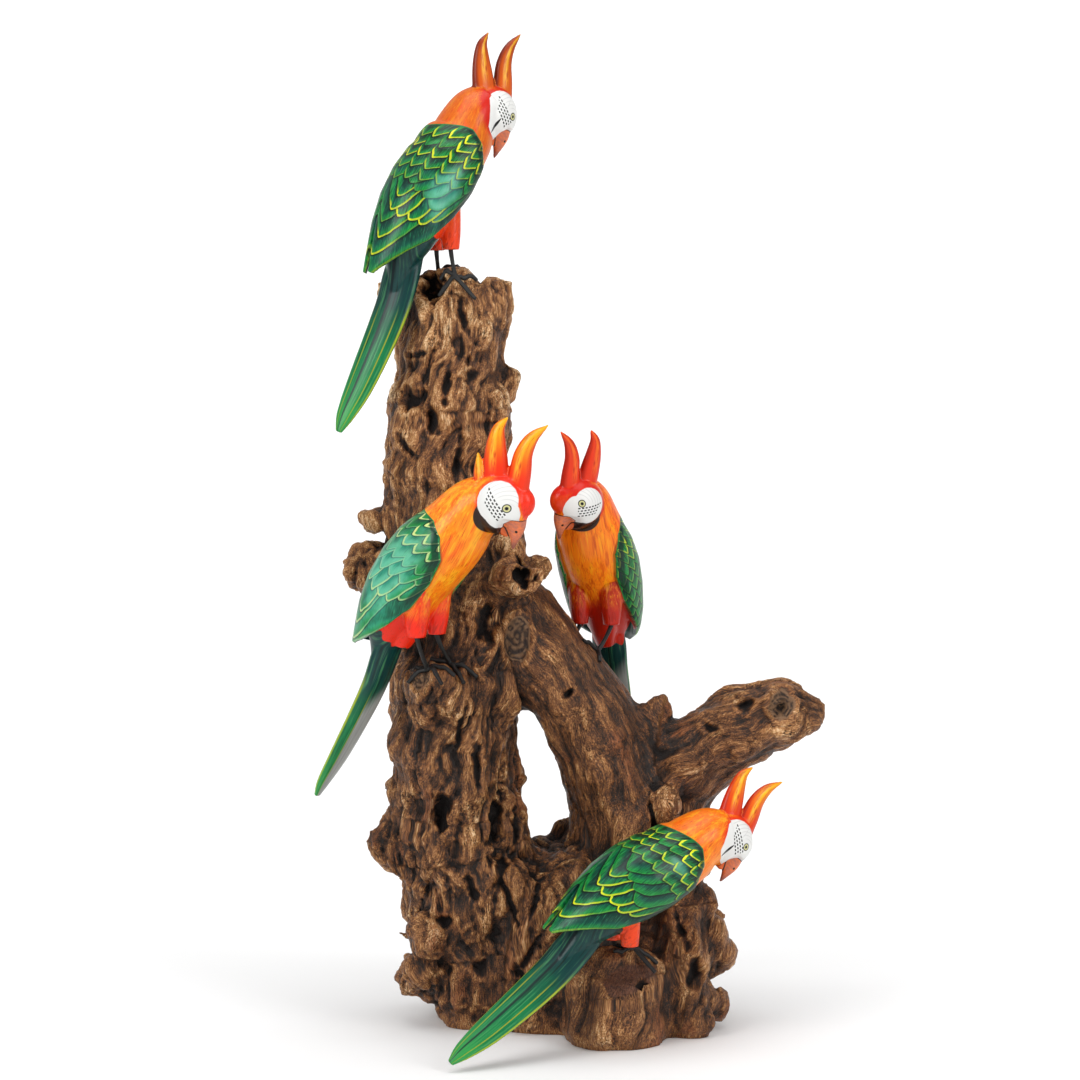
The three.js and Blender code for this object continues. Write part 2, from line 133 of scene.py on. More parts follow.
class Nodes:
    """A tree of shader nodes."""

    def node(self, kind, settings=None, sockets=None, output=0):
        made = self.tree.nodes.new(kind)
        for name, value in (settings or {}).items():
            if name == "stops":
                while len(made.color_ramp.elements) < len(value):
                    made.color_ramp.elements.new(0.5)
                for element, (place, colour) in zip(made.color_ramp.elements, value):
                    element.position = place
                    element.color = (*colour, 1)
            else:
                setattr(made, name, value)
        for name, value in (sockets or {}).items():
            if isinstance(value, Value):
                self.tree.links.new(value.socket, made.inputs[name])
            else:
                made.inputs[name].default_value = value
        if isinstance(output, range):
            return [Value(self, made.outputs[number]) for number in output]
        return Value(self, made.outputs[output])

    def attribute(self, name, count=3):
        """The numbers of a vector attribute, or as many as it holds."""
        whole = self.node("ShaderNodeAttribute", {"attribute_name": name}, output=1)
        return self.node("ShaderNodeSeparateXYZ", {}, {0: whole}, output=range(count))

    def vector(self, x, y, z):
        return self.node("ShaderNodeCombineXYZ", {}, {0: x, 1: y, 2: z})

    def noise(self, x, y, z, detail=2.0):
        """Noise from about 0 to 1 at x, y, z, which are already divided by the size of the spots."""
        sockets = {"Vector": self.vector(x, y, z), "Scale": 1.0, "Detail": detail, "Roughness": 0.55}
        return self.node("ShaderNodeTexNoise", {}, sockets)

    def mix(self, share, under, over):
        """Colour over on colour under, where share is 1. Either may be red, green and blue."""
        under, over = ((*colour, 1.0) if isinstance(colour, tuple) else colour for colour in (under, over))
        return self.node("ShaderNodeMix", {"data_type": "RGBA"}, {0: share, 6: under, 7: over}, output=2)

    def bump(self, height, distance, strength=1.0):
        sockets = {"Height": height, "Distance": distance, "Strength": strength}
        return self.node("ShaderNodeBump", {}, sockets)


class Finish(Nodes):
    """A material on one principled shader, and the nodes that feed it."""

    def __init__(self, name, **constants):
        self.material = bpy.data.materials.new(name)
        self.material.use_nodes = True
        self.tree = self.material.node_tree
        self.shader = self.tree.nodes["Principled BSDF"]
        for socket, value in constants.items():
            self.shader.inputs[socket.replace("_", " ")].default_value = value

    def feed(self, socket, value):
        self.tree.links.new(value.socket, self.shader.inputs[socket])


def shown(name, mesh, finish):
    """A mesh as a smooth-shaded object of the scene, in its finish."""
    thing = bpy.data.objects.new(name, mesh)
    scene.collection.objects.link(thing)
    mesh.shade_smooth()
    mesh.materials.clear()
    mesh.materials.append(finish.material)
    return thing


# The card is level up to here, then bends up round this radius; half its width.
SWEEP_START = 3.2
SWEEP_RADIUS = 1.6
SWEEP_HALF = 6.0

bm = bmesh.new()
bmesh.ops.create_grid(bm, x_segments=2, y_segments=160, size=SWEEP_HALF)
for vert in bm.verts:
    past = vert.co.y - SWEEP_START
    if past > 0:
        turn = min(past / SWEEP_RADIUS, math.pi / 2)
        vert.co.y = SWEEP_START + SWEEP_RADIUS * math.sin(turn)
        vert.co.z = SWEEP_RADIUS * (1 - math.cos(turn)) + max(0.0, past - SWEEP_RADIUS * math.pi / 2)
mesh = bpy.data.meshes.new("backdrop")
bm.to_mesh(mesh)
bm.free()
card = Finish("pale_card", Base_Color=(0.93, 0.93, 0.93, 1), Roughness=0.9)
backdrop = shown("backdrop", mesh, card)

SOFT_BOXES = [
    # place, aimed at, width, height, watts
    ((-1.9, -1.9, 1.5), (0.0, 0.0, 0.5), 1.2, 1.8, 37),
    ((1.9, -1.6, 1.4), (0.0, 0.0, 0.5), 1.2, 1.8, 29),
    ((0.0, -0.4, 2.6), (0.0, 0.0, 0.4), 2.0, 1.6, 26),
    ((0.0, 1.2, 3.2), (0.0, 4.6, 1.4), 5.0, 1.0, 130),
]
for number, (place, target, width, height, watts) in enumerate(SOFT_BOXES):
    lamp = bpy.data.lights.new(f"soft_box_{number}", "AREA")
    lamp.shape = "RECTANGLE"
    lamp.size = width
    lamp.size_y = height
    lamp.energy = watts
    holder = bpy.data.objects.new(lamp.name, lamp)
    holder.location = place
    holder.rotation_euler = (Vector(target) - Vector(place)).to_track_quat("-Z", "Y").to_euler()
    scene.collection.objects.link(holder)

world = bpy.data.worlds.new("studio")
world.use_nodes = True
world.node_tree.nodes["Background"].inputs["Color"].default_value = (1, 1, 1, 1)
world.node_tree.nodes["Background"].inputs["Strength"].default_value = 0.45
scene.world = world


# The root.
# One piece of a dug-up tree root, washed, sawn level below and oiled. The wood has grown round stones and
# rotted in places, so it is ribbed along its limbs, knotted, cracked and hollowed.

# Middle lines of the limbs: x, y, z and radius at each station, and how rough the wood is there.
LIMBS = [
    ("trunk", 1.0, [
        (-124, 4, 775, 45), (-120, 4, 748, 50), (-117, 2, 722, 52), (-118, 0, 690, 52), (-120, 0, 652, 54),
        (-124, 0, 600, 62), (-125, 0, 560, 62), (-120, 2, 500, 62), (-111, 6, 440, 62), (-108, -8, 400, 60),
        (-113, -16, 350, 64), (-118, -20, 311, 66), (-118, -20, 281, 66), (-114, -16, 245, 64),
        (-113, -12, 206, 68), (-102, -6, 160, 76), (-82, 0, 100, 80), (-70, 4, 40, 72), (-68, 4, -12, 66),
    ]),
    ("slanted", 0.3, [
        (-100, 4, 462, 46), (-64, -2, 402, 51), (-13, -4, 345, 51), (29, -3, 286, 50), (54, 3, 226, 56),
        (62, 10, 160, 62), (56, 10, 90, 72), (48, 8, -12, 70),
    ]),
    ("right_side", 0.8, [
        (104, 8, 262, 34), (100, 8, 214, 50), (88, 8, 156, 54), (88, 4, 100, 60), (80, -4, -12, 66),
    ]),
    ("branch", 0.6, [
        (62, 6, 205, 40), (104, 6, 248, 46), (148, 2, 284, 44), (186, -2, 304, 39), (222, -3, 311, 33),
        (256, -3, 316, 22),
    ]),
    ("stub", 0.35, [(44, -88, 89, 40), (43, -94, 46, 50), (42, -88, -12, 48)]),
    ("base", 0.8, [(-8, 4, 176, 50), (-8, 4, 76, 100), (-4, 4, -12, 90)]),
]

# Knobs and stumps too small for the solids: middle, half sizes.
KNOBS = [
    ((-60, -44, 482), (15, 12, 16)), ((-34, -30, 462), (16, 14, 15)), ((-176, -8, 548), (12, 16, 20)),
    ((-160, -36, 410), (24, 22, 34)), ((-152, -46, 300), (20, 18, 26)), ((-170, -20, 250), (14, 16, 22)),
    ((-172, -24, 290), (12, 14, 16)), ((-96, -68, 250), (20, 14, 34)), ((-60, -62, 146), (26, 20, 30)),
    ((-140, -60, 96), (24, 20, 24)), ((-150, -48, 60), (22, 18, 20)), ((-20, -70, 120), (30, 18, 26)),
    ((118, -60, 176), (24, 20, 30)), ((132, -44, 130), (16, 18, 20)), ((142, -30, 96), (15, 16, 18)),
    ((150, -24, 72), (14, 14, 12)), ((142, -40, 24), (18, 18, 18)), ((120, -72, 12), (24, 18, 16)),
    ((96, -52, 226), (16, 12, 26)), ((60, -52, 196), (22, 14, 30)), ((116, -38, 264), (22, 14, 20)),
    ((200, -30, 326), (22, 12, 12)), ((238, -14, 304), (14, 14, 9)), ((168, -34, 280), (20, 12, 14)),
    ((-108, -46, 596), (18, 14, 26)), ((-144, -44, 560), (18, 14, 30)), ((-98, -44, 540), (16, 14, 24)),
    ((-136, -40, 680), (16, 14, 28)), ((-96, -36, 690), (16, 16, 26)), ((-74, -28, 620), (12, 16, 22)),
    ((-150, 40, 620), (16, 18, 26)), ((-80, 50, 520), (20, 14, 34)), ((-150, 48, 300), (20, 18, 40)),
    ((-30, 56, 330), (24, 16, 24)), ((70, 58, 260), (20, 16, 26)), ((150, 38, 300), (20, 12, 16)),
    ((-128, 66, 60), (26, 18, 24)), ((112, 70, 90), (24, 18, 28)), ((-30, 84, 60), (30, 14, 30)),
    ((-196, 2, 500), (14, 12, 8)), ((-186, 4, 470), (16, 14, 12)), ((-206, 2, 446), (13, 12, 12)),
]

# Spikes of broken side roots: foot, tip, radius at the foot.
SPIKES = [
    ((-160, -10, 246), (-192, -14, 238), 9), ((-160, -14, 214), (-194, -14, 206), 10),
    ((-182, -16, 192), (-206, -14, 196), 9), ((-158, -16, 86), (-178, -18, 94), 8),
    ((-160, -30, 70), (-176, -32, 76), 7), ((94, -4, 300), (96, -6, 334), 10),
    ((-70, -4, 640), (-62, -6, 668), 7), ((-196, 0, 508), (-216, -2, 516), 7),
    ((230, -4, 320), (254, -6, 330), 8), ((240, -6, 306), (256, -6, 314), 8),
    ((146, -8, 80), (163, -8, 78), 9), ((140, -6, 110), (158, -6, 104), 8),
]


def opened(mesh):
    """A bmesh of a mesh."""
    shape = bmesh.new()
    shape.from_mesh(mesh)
    return shape


def merged(mesh):
    """A bmesh of a mesh whose loose triangles are joined."""
    shape = opened(mesh)
    bmesh.ops.remove_doubles(shape, verts=shape.verts, dist=1e-5)
    return shape


def worked(shape, steps):
    """The mesh of a bmesh after a row of modifiers, each a type and its settings."""
    mesh = bpy.data.meshes.new("worked")
    shape.to_mesh(mesh)
    shape.free()
    thing = bpy.data.objects.new("worked", mesh)
    scene.collection.objects.link(thing)
    for kind, settings in steps:
        modifier = thing.modifiers.new(kind, kind)
        for name, value in settings.items():
            setattr(modifier, name, value)
    made = bpy.data.meshes.new_from_object(thing.evaluated_get(bpy.context.evaluated_depsgraph_get()))
    bpy.data.objects.remove(thing)
    return made


def points_of(mesh):
    flat = np.empty(len(mesh.vertices) * 3, dtype=np.float32)
    mesh.vertices.foreach_get("co", flat)
    return flat.reshape(-1, 3).astype(np.float64)


def put_points(mesh, points):
    mesh.vertices.foreach_set("co", points.astype(np.float32).ravel())
    mesh.update()


def normals_of(mesh):
    flat = np.empty(len(mesh.vertices) * 3, dtype=np.float32)
    mesh.vertex_normals.foreach_get("vector", flat)
    return flat.reshape(-1, 3).astype(np.float64)


def put_attribute(mesh, name, *numbers):
    """Keeps up to three numbers of each point as a vector attribute."""
    rows = np.zeros((len(mesh.vertices), 3), dtype=np.float32)
    rows[:, :len(numbers)] = np.column_stack(numbers)
    mesh.attributes.new(name, "FLOAT_VECTOR", "POINT").data.foreach_set("vector", rows.ravel())


def lumps(points, seed):
    """Smooth noise from about -1 to 1 at rows of points."""
    cell = np.floor(points).astype(np.int64)
    inside = points - cell
    ease = inside**3 * (inside * (inside * 6 - 15) + 10)
    total = np.zeros(len(points))
    for corner in range(8):
        step = np.array([(corner >> axis) & 1 for axis in range(3)])
        at = cell + step
        code = (at[:, 0] * 73856093) ^ (at[:, 1] * 19349663) ^ (at[:, 2] * 83492791) ^ (seed * 40503 + 977)
        code = (code ^ (code >> 13)) * 1274126177
        code = code ^ (code >> 16)
        slope = np.stack([((code >> shift) & 1023) / 511.5 - 1 for shift in (0, 10, 20)], axis=1)
        weight = np.prod(np.where(step == 1, ease, 1 - ease), axis=1)
        total += weight * np.sum(slope * (inside - step), axis=1)
    return total * 1.5


def smooth_step(numbers, start, end):
    share = np.clip((numbers - start) / (end - start), 0, 1)
    return share * share * (3 - 2 * share)


# The grain winds round the limbs: radians in a millimetre.
GRAIN_TWIST = 0.0035


def limb_places(points, stations):
    """Each point's place on a limb: distance in radii, length along it, and two coordinates across it."""
    line = np.array(stations, dtype=float)
    start, end = line[:-1], line[1:]
    lengths = np.linalg.norm(end[:, :3] - start[:, :3], axis=1)
    passed = np.concatenate([[0], np.cumsum(lengths)])
    best = np.full(len(points), 1e9)
    along = np.zeros(len(points))
    offset = np.zeros((len(points), 3))
    way = np.zeros((len(points), 3))
    for k in range(len(start)):
        direction = (end[k, :3] - start[k, :3]) / lengths[k]
        share = np.clip((points - start[k, :3]) @ direction / lengths[k], 0, 1)
        middle = start[k, :3] + share[:, None] * (end[k, :3] - start[k, :3])
        radius = start[k, 3] + share * (end[k, 3] - start[k, 3])
        apart = points - middle
        ratio = np.linalg.norm(apart, axis=1) / radius
        nearer = ratio < best
        best[nearer] = ratio[nearer]
        along[nearer] = passed[k] + share[nearer] * lengths[k]
        offset[nearer] = apart[nearer]
        way[nearer] = direction
    deep = np.array([0.0, 1.0, 0.0]) - way * way[:, 1:2]
    deep /= np.linalg.norm(deep, axis=1)[:, None]
    wide = np.cross(way, deep)
    twist = along * GRAIN_TWIST
    a = np.sum(offset * wide, axis=1)
    b = np.sum(offset * deep, axis=1)
    return best, along, a * np.cos(twist) - b * np.sin(twist), a * np.sin(twist) + b * np.cos(twist)


def without_crumbs(mesh):
    """A bmesh of the largest connected piece of a mesh."""
    shape = opened(mesh)
    shape.verts.ensure_lookup_table()
    piece = [-1] * len(shape.verts)
    sizes = []
    for first in shape.verts:
        if piece[first.index] >= 0:
            continue
        piece[first.index] = len(sizes)
        front = [first]
        count = 0
        while front:
            vert = front.pop()
            count += 1
            for edge in vert.link_edges:
                other = edge.other_vert(vert)
                if piece[other.index] < 0:
                    piece[other.index] = len(sizes)
                    front.append(other)
        sizes.append(count)
    largest = sizes.index(max(sizes))
    crumbs = [vert for vert in shape.verts if piece[vert.index] != largest]
    bmesh.ops.delete(shape, geom=crumbs, context="VERTS")
    return shape


# The coarse root: the solid with its knobs and spikes, melted together. ROOT_FACES: how many it ends with.
ROOT_VOXEL = 0.0048
ROOT_FINE_VOXEL = 0.0026
ROOT_FACES = 196000
SPIKE_TIP = 0.35
SPIKE_STRETCH = 1.1

shape = merged(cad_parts["driftwood_root"].data)
for middle, half in KNOBS:
    place = Matrix.Translation(Vector(middle) * MM) @ Matrix.Diagonal((*(Vector(half) * MM), 1))
    bmesh.ops.create_icosphere(shape, subdivisions=2, radius=1, matrix=place)
for foot, tip, radius in SPIKES:
    foot, tip = Vector(foot) * MM, Vector(tip) * MM
    turned = (tip - foot).to_track_quat("Z", "Y").to_matrix().to_4x4()
    place = Matrix.Translation((foot + tip) / 2) @ turned
    bmesh.ops.create_cone(
        shape, cap_ends=True, cap_tris=True, segments=10, radius1=radius * MM,
        radius2=radius * MM * SPIKE_TIP, depth=(tip - foot).length * SPIKE_STRETCH, matrix=place,
    )
root_mesh = worked(shape, [
    ("REMESH", {"mode": "VOXEL", "voxel_size": ROOT_VOXEL}),
    ("SMOOTH", {"factor": 0.5, "iterations": 9}),
    ("REMESH", {"mode": "VOXEL", "voxel_size": ROOT_FINE_VOXEL}),
    ("SMOOTH", {"factor": 0.5, "iterations": 3}),
])
shape = without_crumbs(root_mesh)
shape.to_mesh(root_mesh)
shape.free()

# Where the wood is hollow, seen from the front: x, z, half width, half height, depth, tilt in degrees.
HOLLOWS = [
    (-137, 738, 12, 20, 26, 0), (-106, 706, 5, 24, 9, 12), (-158, 629, 11, 12, 16, -10),
    (-137, 604, 7, 15, 14, 10), (-98, 650, 6, 12, 10, 0), (-150, 672, 12, 4, 8, 10),
    (-124, 640, 4, 20, 8, -6), (-163, 580, 5, 17, 8, 35),
    (-112, 566, 5, 22, 7, -10), (-46, 456, 12, 17, 30, 0), (-86, 400, 10, 20, 18, 0),
    (-178, 460, 10, 14, 14, 0), (-196, 448, 6, 10, 9, 0), (-188, 480, 9, 6, 9, 0),
    (-129, 212, 11, 17, 18, 0), (-76, 204, 6, 34, 18, -8), (-56, 190, 3.5, 28, 10, 4),
    (-143, 132, 10, 11, 14, 0),
    (-128, 98, 11, 6, 10, 15), (-96, 262, 4, 26, 9, 8), (-112, 300, 3.5, 26, 8, -6),
    (-100, 132, 5, 20, 9, 24), (-60, 116, 4, 28, 9, 20), (-36, 120, 3.5, 24, 8, -18),
    (125, 46, 9, 16, 16, 0), (112, 90, 4, 18, 8, 20), (174, 320, 8, 7, 12, 0), (212, 316, 6, 6, 10, 0),
    (140, 296, 9, 5, 8, -25),
    (-2, 332, 3, 7, 9, -55), (84, 196, 4, 26, 8, 6), (-2, 96, 5, 22, 10, 35), (-46, 58, 6, 24, 12, -30),
    (-92, 52, 7, 9, 11, 0), (-24, 28, 10, 7, 9, 20), (-70, 150, 5, 26, 12, -12),
]

# Where a hollow fades out, in its half sizes; there its rim is raised by so many millimetres.
HOLLOW_REACH = 1.3
HOLLOW_RIM = 1.6

# Round knots: x, z, half width, half height and tilt, with rings of grain about a dark middle. How far the
# rings turn in one half size, in radians. The rim: where it stands, its width and its height.
KNOTS = [(-54, 386, 12, 21, -4), (211, 318, 12, 12, 0), (-152, 352, 10, 14, 0), (-130, 470, 16, 16, 0)]
KNOT_RINGS = 21
KNOT_RIM = (1.3, 0.2, 3.0)

# How deep in front of or behind a hollow's or a knot's middle its wood may lie.
SPOT_DEPTH = 26

# The sawn face of the front stub: a point on it, its slope, and the oval of its middle as x, z and half
# sizes. The peg hole in it: x and z seen from the front, half width, half height and depth.
SAW_EDGE = Vector((43, -120, 79))
SAW_SLOPE = math.radians(42)
SAW_OVAL = (63, 65, 31, 18)
SAW_THICKNESS = 7
PEG_HOLE = (72, 37, 7.5, 7.0, 9)

# The crown: height of its rim at the left and how much lower it is at the right, the notch in it as x,
# height and slope of its sides, and the height over which wood above the rim is pressed together.
CROWN_RIM = (758, 8)
CROWN_NOTCH = (-90, 741, 1.3)
CROWN_SOFTNESS = 7

# The relief over the whole root, in millimetres: heights of its forms, and sizes of the ribs across the limb
# twice and along it.
SWELL_HEIGHT = 5.0
KNOBBLE_HEIGHT = 2.0
LEDGE_HEIGHT = 2.8
RIBS = (10.0, (17, 17, 105))
FINE_RIBS = (3.6, (6.5, 6.5, 46))
THREADS = (1.7, (2.9, 2.9, 26))
RIB_MIDDLE = 0.22
# How much of the relief the sawn face keeps, and the heights over which it grows from none above the
# underside.
SAWN_RELIEF = 0.12
UNDERSIDE = (1.0, 14.0)


def surface_of(mesh):
    """A mesh as a surface that lines of sight and plumb lines can meet."""
    return BVHTree.FromPolygons(points_of(mesh).tolist(), [list(face.vertices) for face in mesh.polygons])


points = points_of(root_mesh) / MM
normals = normals_of(root_mesh)
tree = surface_of(root_mesh)


def seen_spot(x, z):
    """The place on the root that the viewer sees at x, z of the upright plane through the origin."""
    way = (Vector((x * MM, 0, z * MM)) - EYE).normalized()
    hit = tree.ray_cast(EYE, way)[0]
    return None if hit is None else np.array(hit) / MM


def tilted(points, spot, half_wide, half_high, tilt):
    """Distance of each point from a spot, seen from the front, in the half sizes of its tilted oval."""
    turn = math.radians(tilt)
    across = (points[:, 0] - spot[0]) * math.cos(turn) + (points[:, 2] - spot[2]) * math.sin(turn)
    up = (points[:, 2] - spot[2]) * math.cos(turn) - (points[:, 0] - spot[0]) * math.sin(turn)
    return np.hypot(across / half_wide, up / half_high)


# Each limb's share of a point: the nearest limb's is largest, and it changes softly where limbs meet.
placed = [limb_places(points, stations) for _, _, stations in LIMBS]
limb_ratio = np.array([ratio for ratio, _, _, _ in placed])
weights = np.exp(-7 * (limb_ratio - limb_ratio.min(axis=0)))
weights /= weights.sum(axis=0)
nearest = limb_ratio.argmin(axis=0)

ribs = np.zeros(len(points))
fine_ribs = np.zeros(len(points))
threads = np.zeros(len(points))
rough_here = np.zeros(len(points))
grain = np.zeros((len(points), 3))
warp = 9 * np.column_stack([lumps(points / 38, seed) for seed in (51, 52, 53)])
for number, (_, rough, _) in enumerate(LIMBS):
    weight = weights[number]
    _, along, a, b = placed[number]
    place = np.column_stack([a, b, along]) + warp
    ribs += weight * np.abs(lumps(place / RIBS[1], 3 * number))
    fine_ribs += weight * np.abs(lumps(place / FINE_RIBS[1], 3 * number + 1))
    threads += weight * np.abs(lumps(place / THREADS[1], 3 * number + 2))
    rough_here += weight * rough
    grain[nearest == number] = place[nearest == number]

swell = lumps(points / 46, 71)
knobbly = lumps(points / 21, 72)
# Ledges: broad noise is stepped, so that the wood breaks off in shelves.
level = lumps((points + 2 * warp) / (30, 30, 42), 73) * 2.4
ledges = np.floor(level) + smooth_step(level - np.floor(level), 0.36, 0.64)
height = (
    SWELL_HEIGHT * swell
    + KNOBBLE_HEIGHT * knobbly * rough_here
    + LEDGE_HEIGHT * ledges * smooth_step(rough_here, 0.4, 1.0)
    + RIBS[0] * (ribs - RIB_MIDDLE) * (0.3 + 0.7 * rough_here)
    + FINE_RIBS[0] * (fine_ribs - RIB_MIDDLE) * (0.35 + 0.75 * rough_here)
    + THREADS[0] * (threads - RIB_MIDDLE)
)

# The sawn face of the front stub and the sawn underside stay flat.
saw_normal = np.array([0, -math.sin(SAW_SLOPE), math.cos(SAW_SLOPE)])
from_saw = np.abs((points - np.array(SAW_EDGE)) @ saw_normal)
x, z, half_wide, half_high = SAW_OVAL
on_face = np.hypot((points[:, 0] - x) / half_wide, (points[:, 2] - z) / half_high)
on_saw = (from_saw < SAW_THICKNESS) & (on_face < 1) & (normals @ saw_normal > 0.5)
height = height * (np.where(on_saw, SAWN_RELIEF, 1.0) * smooth_step(points[:, 2], *UNDERSIDE))

# Hollows are dug away from the viewer and a little into the surface.
dig = np.zeros((len(points), 3))
hollow = np.zeros(len(points))
inward = -0.45 * normals + np.array([0, 0.75, 0])
edge_wobble = 0.6 * lumps(points / 11, 75) + 0.25 * lumps(points / 4.5, 76)
for x, z, half_wide, half_high, depth, tilt in HOLLOWS:
    spot = seen_spot(x, z)
    if spot is None:
        continue
    reach = tilted(points, spot, half_wide, half_high, tilt) + edge_wobble
    front = (np.abs(points[:, 1] - spot[1]) < SPOT_DEPTH) & (normals[:, 1] < 0.35)
    bowl = np.where(front, 1 - smooth_step(reach, 0.0, HOLLOW_REACH), 0.0)
    rim = np.where(front, np.exp(-(((reach - HOLLOW_REACH) / 0.28) ** 2)), 0.0)
    dig += bowl[:, None] * inward * depth * 0.75
    height += HOLLOW_RIM * rim
    hollow = np.maximum(hollow, bowl)

rim_place, rim_width, rim_height = KNOT_RIM
ring_tone = np.zeros(len(points))
for x, z, half_wide, half_high, tilt in KNOTS:
    spot = seen_spot(x, z)
    if spot is None:
        continue
    reach = tilted(points, spot, half_wide, half_high, tilt) + 0.25 * edge_wobble
    front = (np.abs(points[:, 1] - spot[1]) < SPOT_DEPTH) & (normals[:, 1] < 0.2)
    inside = np.where(front, 1 - smooth_step(reach, 0.95, 1.15), 0.0)
    rings = np.sin(reach * KNOT_RINGS)
    height = height * (1 - inside) + inside * (0.6 * rings - 1.2)
    height += np.where(front, rim_height * np.exp(-(((reach - rim_place) / rim_width) ** 2)), 0.0)
    ring_tone = np.maximum(ring_tone, inside * (0.75 + 0.25 * rings))

# A wedge-shaped peg hole in the sawn face, and the notch between the rim of the crown and its prong.
x, z, half_wide, half_high, depth = PEG_HOLE
spot = seen_spot(x, z)
reach = np.abs(points[:, 0] - spot[0]) / half_wide + np.abs(points[:, 2] - spot[2]) / half_high
bowl = np.where(on_saw, 1 - smooth_step(reach, 0.7, 1.1), 0.0)
dig -= bowl[:, None] * saw_normal * depth
hollow = np.maximum(hollow, bowl)
points = points + normals * height[:, None] + dig
x, z, slope = CROWN_NOTCH
rim = CROWN_RIM[0] - CROWN_RIM[1] * smooth_step(points[:, 0], x - 4, x + 4) + 3 * lumps(points / 10, 77)
rim = np.minimum(rim, z + slope * np.abs(points[:, 0] - x) + 2 * lumps(points / 7, 78))
past = np.maximum(points[:, 2] - rim + CROWN_SOFTNESS, 0)
points[:, 2] += CROWN_SOFTNESS * (1 - np.exp(-past / CROWN_SOFTNESS)) - past
points[:, 2] = np.where(points[:, 2] < 3.0, 0.0, points[:, 2])
put_points(root_mesh, points * MM)

shape = opened(root_mesh)
bmesh.ops.smooth_vert(shape, verts=shape.verts, factor=0.3, use_axis_x=True, use_axis_y=True, use_axis_z=True)
shape.to_mesh(root_mesh)
shape.free()

put_attribute(root_mesh, "mark", hollow, ring_tone, np.where(on_saw, 1.0, 0.0))
put_attribute(root_mesh, "grain", *grain.T)

faces = sum(len(face.vertices) - 2 for face in root_mesh.polygons)
thinned = {"ratio": min(1.0, ROOT_FACES / faces), "use_collapse_triangulate": True}
root_mesh = worked(opened(root_mesh), [("DECIMATE", thinned)])
root_mesh.name = "root"


def sunken(mesh, rounds):
    """How far each point lies below its surroundings, smoothed a number of times; 1 is deeper than most."""
    points = points_of(mesh) / MM
    ends = np.empty(len(mesh.edges) * 2, dtype=np.int32)
    mesh.edges.foreach_get("vertices", ends)
    here = np.concatenate([ends[0::2], ends[1::2]])
    there = np.concatenate([ends[1::2], ends[0::2]])
    number = np.bincount(here, minlength=len(points))[:, None]
    smoothed = points
    for _ in range(rounds):
        sums = [np.bincount(here, smoothed[there, axis], len(points)) for axis in range(3)]
        smoothed = 0.4 * smoothed + 0.6 * np.column_stack(sums) / number
    depth = np.sum((smoothed - points) * normals_of(mesh), axis=1)
    return depth / np.percentile(np.abs(depth), 90)


# Rounds of smoothing that show how far the wood is sunk finely, middling and broadly.
SINK_ROUNDS = (3, 16, 90)
put_attribute(root_mesh, "sunk", *(sunken(root_mesh, rounds) for rounds in SINK_ROUNDS))

# Oiled wood: dark brown with fine streaks along the grain and dark cracks. Painted light and shade: golden
# highlights on the ribs, darker where the wood is sunk, and nearly black painted shade in the hollows.
WOOD_TONES = [
    (0.05, (0.011, 0.006, 0.004)), (0.22, (0.045, 0.019, 0.008)), (0.40, (0.135, 0.049, 0.016)),
    (0.57, (0.29, 0.118, 0.036)), (0.75, (0.52, 0.265, 0.100)), (0.96, (0.86, 0.60, 0.35)),
]
RED_WOOD = (0.24, 0.062, 0.022)
# Nearly black: painted shade in the hollows and creases, and the colour of the cracks along the grain.
SHADE_AND_CRACK_BLACK = (0.008, 0.005, 0.004)
SAWN_TONES = ((0.040, 0.014, 0.007), (0.17, 0.062, 0.028))
KNOT_TONES = ((0.24, 0.13, 0.065), (0.014, 0.009, 0.007))
wood = Finish("oiled_root_wood", Roughness=0.5, Specular_IOR_Level=0.35)
pit, ring, sawn = wood.attribute("mark")
ga, gb, gs = wood.attribute("grain")
fine_sunk, middle_sunk, broad_sunk = wood.attribute("sunk")
spot = wood.node("ShaderNodeTexCoord", {}, output=3)
height = wood.node("ShaderNodeSeparateXYZ", {}, {0: spot}, output=2)
broad = wood.noise(ga / 30.0, gb / 30.0, gs / 55.0)
streak = wood.noise(ga / 3.4, gb / 3.4, gs / 42.0, 3.0)
thread = wood.noise(ga / 0.9, gb / 0.9, gs / 11.0, 3.0)
speck = wood.noise(ga / 1.1, gb / 1.1, gs / 1.6, 2.0)
# Painted light and shade: the wood is made lighter where it stands out and darker where it is sunk.
relief_light_and_shade = (fine_sunk * -0.11 + middle_sunk * -0.15 + broad_sunk * -0.08).least(0.24)
tone = relief_light_and_shade + (broad - 0.5) * 0.95 + (streak - 0.5) * 0.6 + (thread - 0.5) * 0.95 + (speck - 0.5) * 0.75
tone = tone + 0.32 + height.rise(0.36, 0.56) * 0.12
base = wood.node("ShaderNodeValToRGB", {"stops": WOOD_TONES}, {0: tone})
reddish = wood.noise(ga / 42.0 + 7.0, gb / 42.0, gs / 60.0).rise(0.56, 0.72) * height.rise(0.42, 0.30)
base = wood.mix(reddish * tone.rise(0.2, 0.6) * 0.55, base, RED_WOOD)
# Painted shade in the creases, where the surface is sunk.
painted_crease_shade = (middle_sunk + fine_sunk * 0.7 + broad_sunk * 0.3 + (streak - 0.5) * 1.5).rise(0.9, 2.4)
cracks_and_crease_shade = (abs(streak - 0.5).rise(0.02, 0.006) * broad.rise(0.5, 0.6)).most(painted_crease_shade)
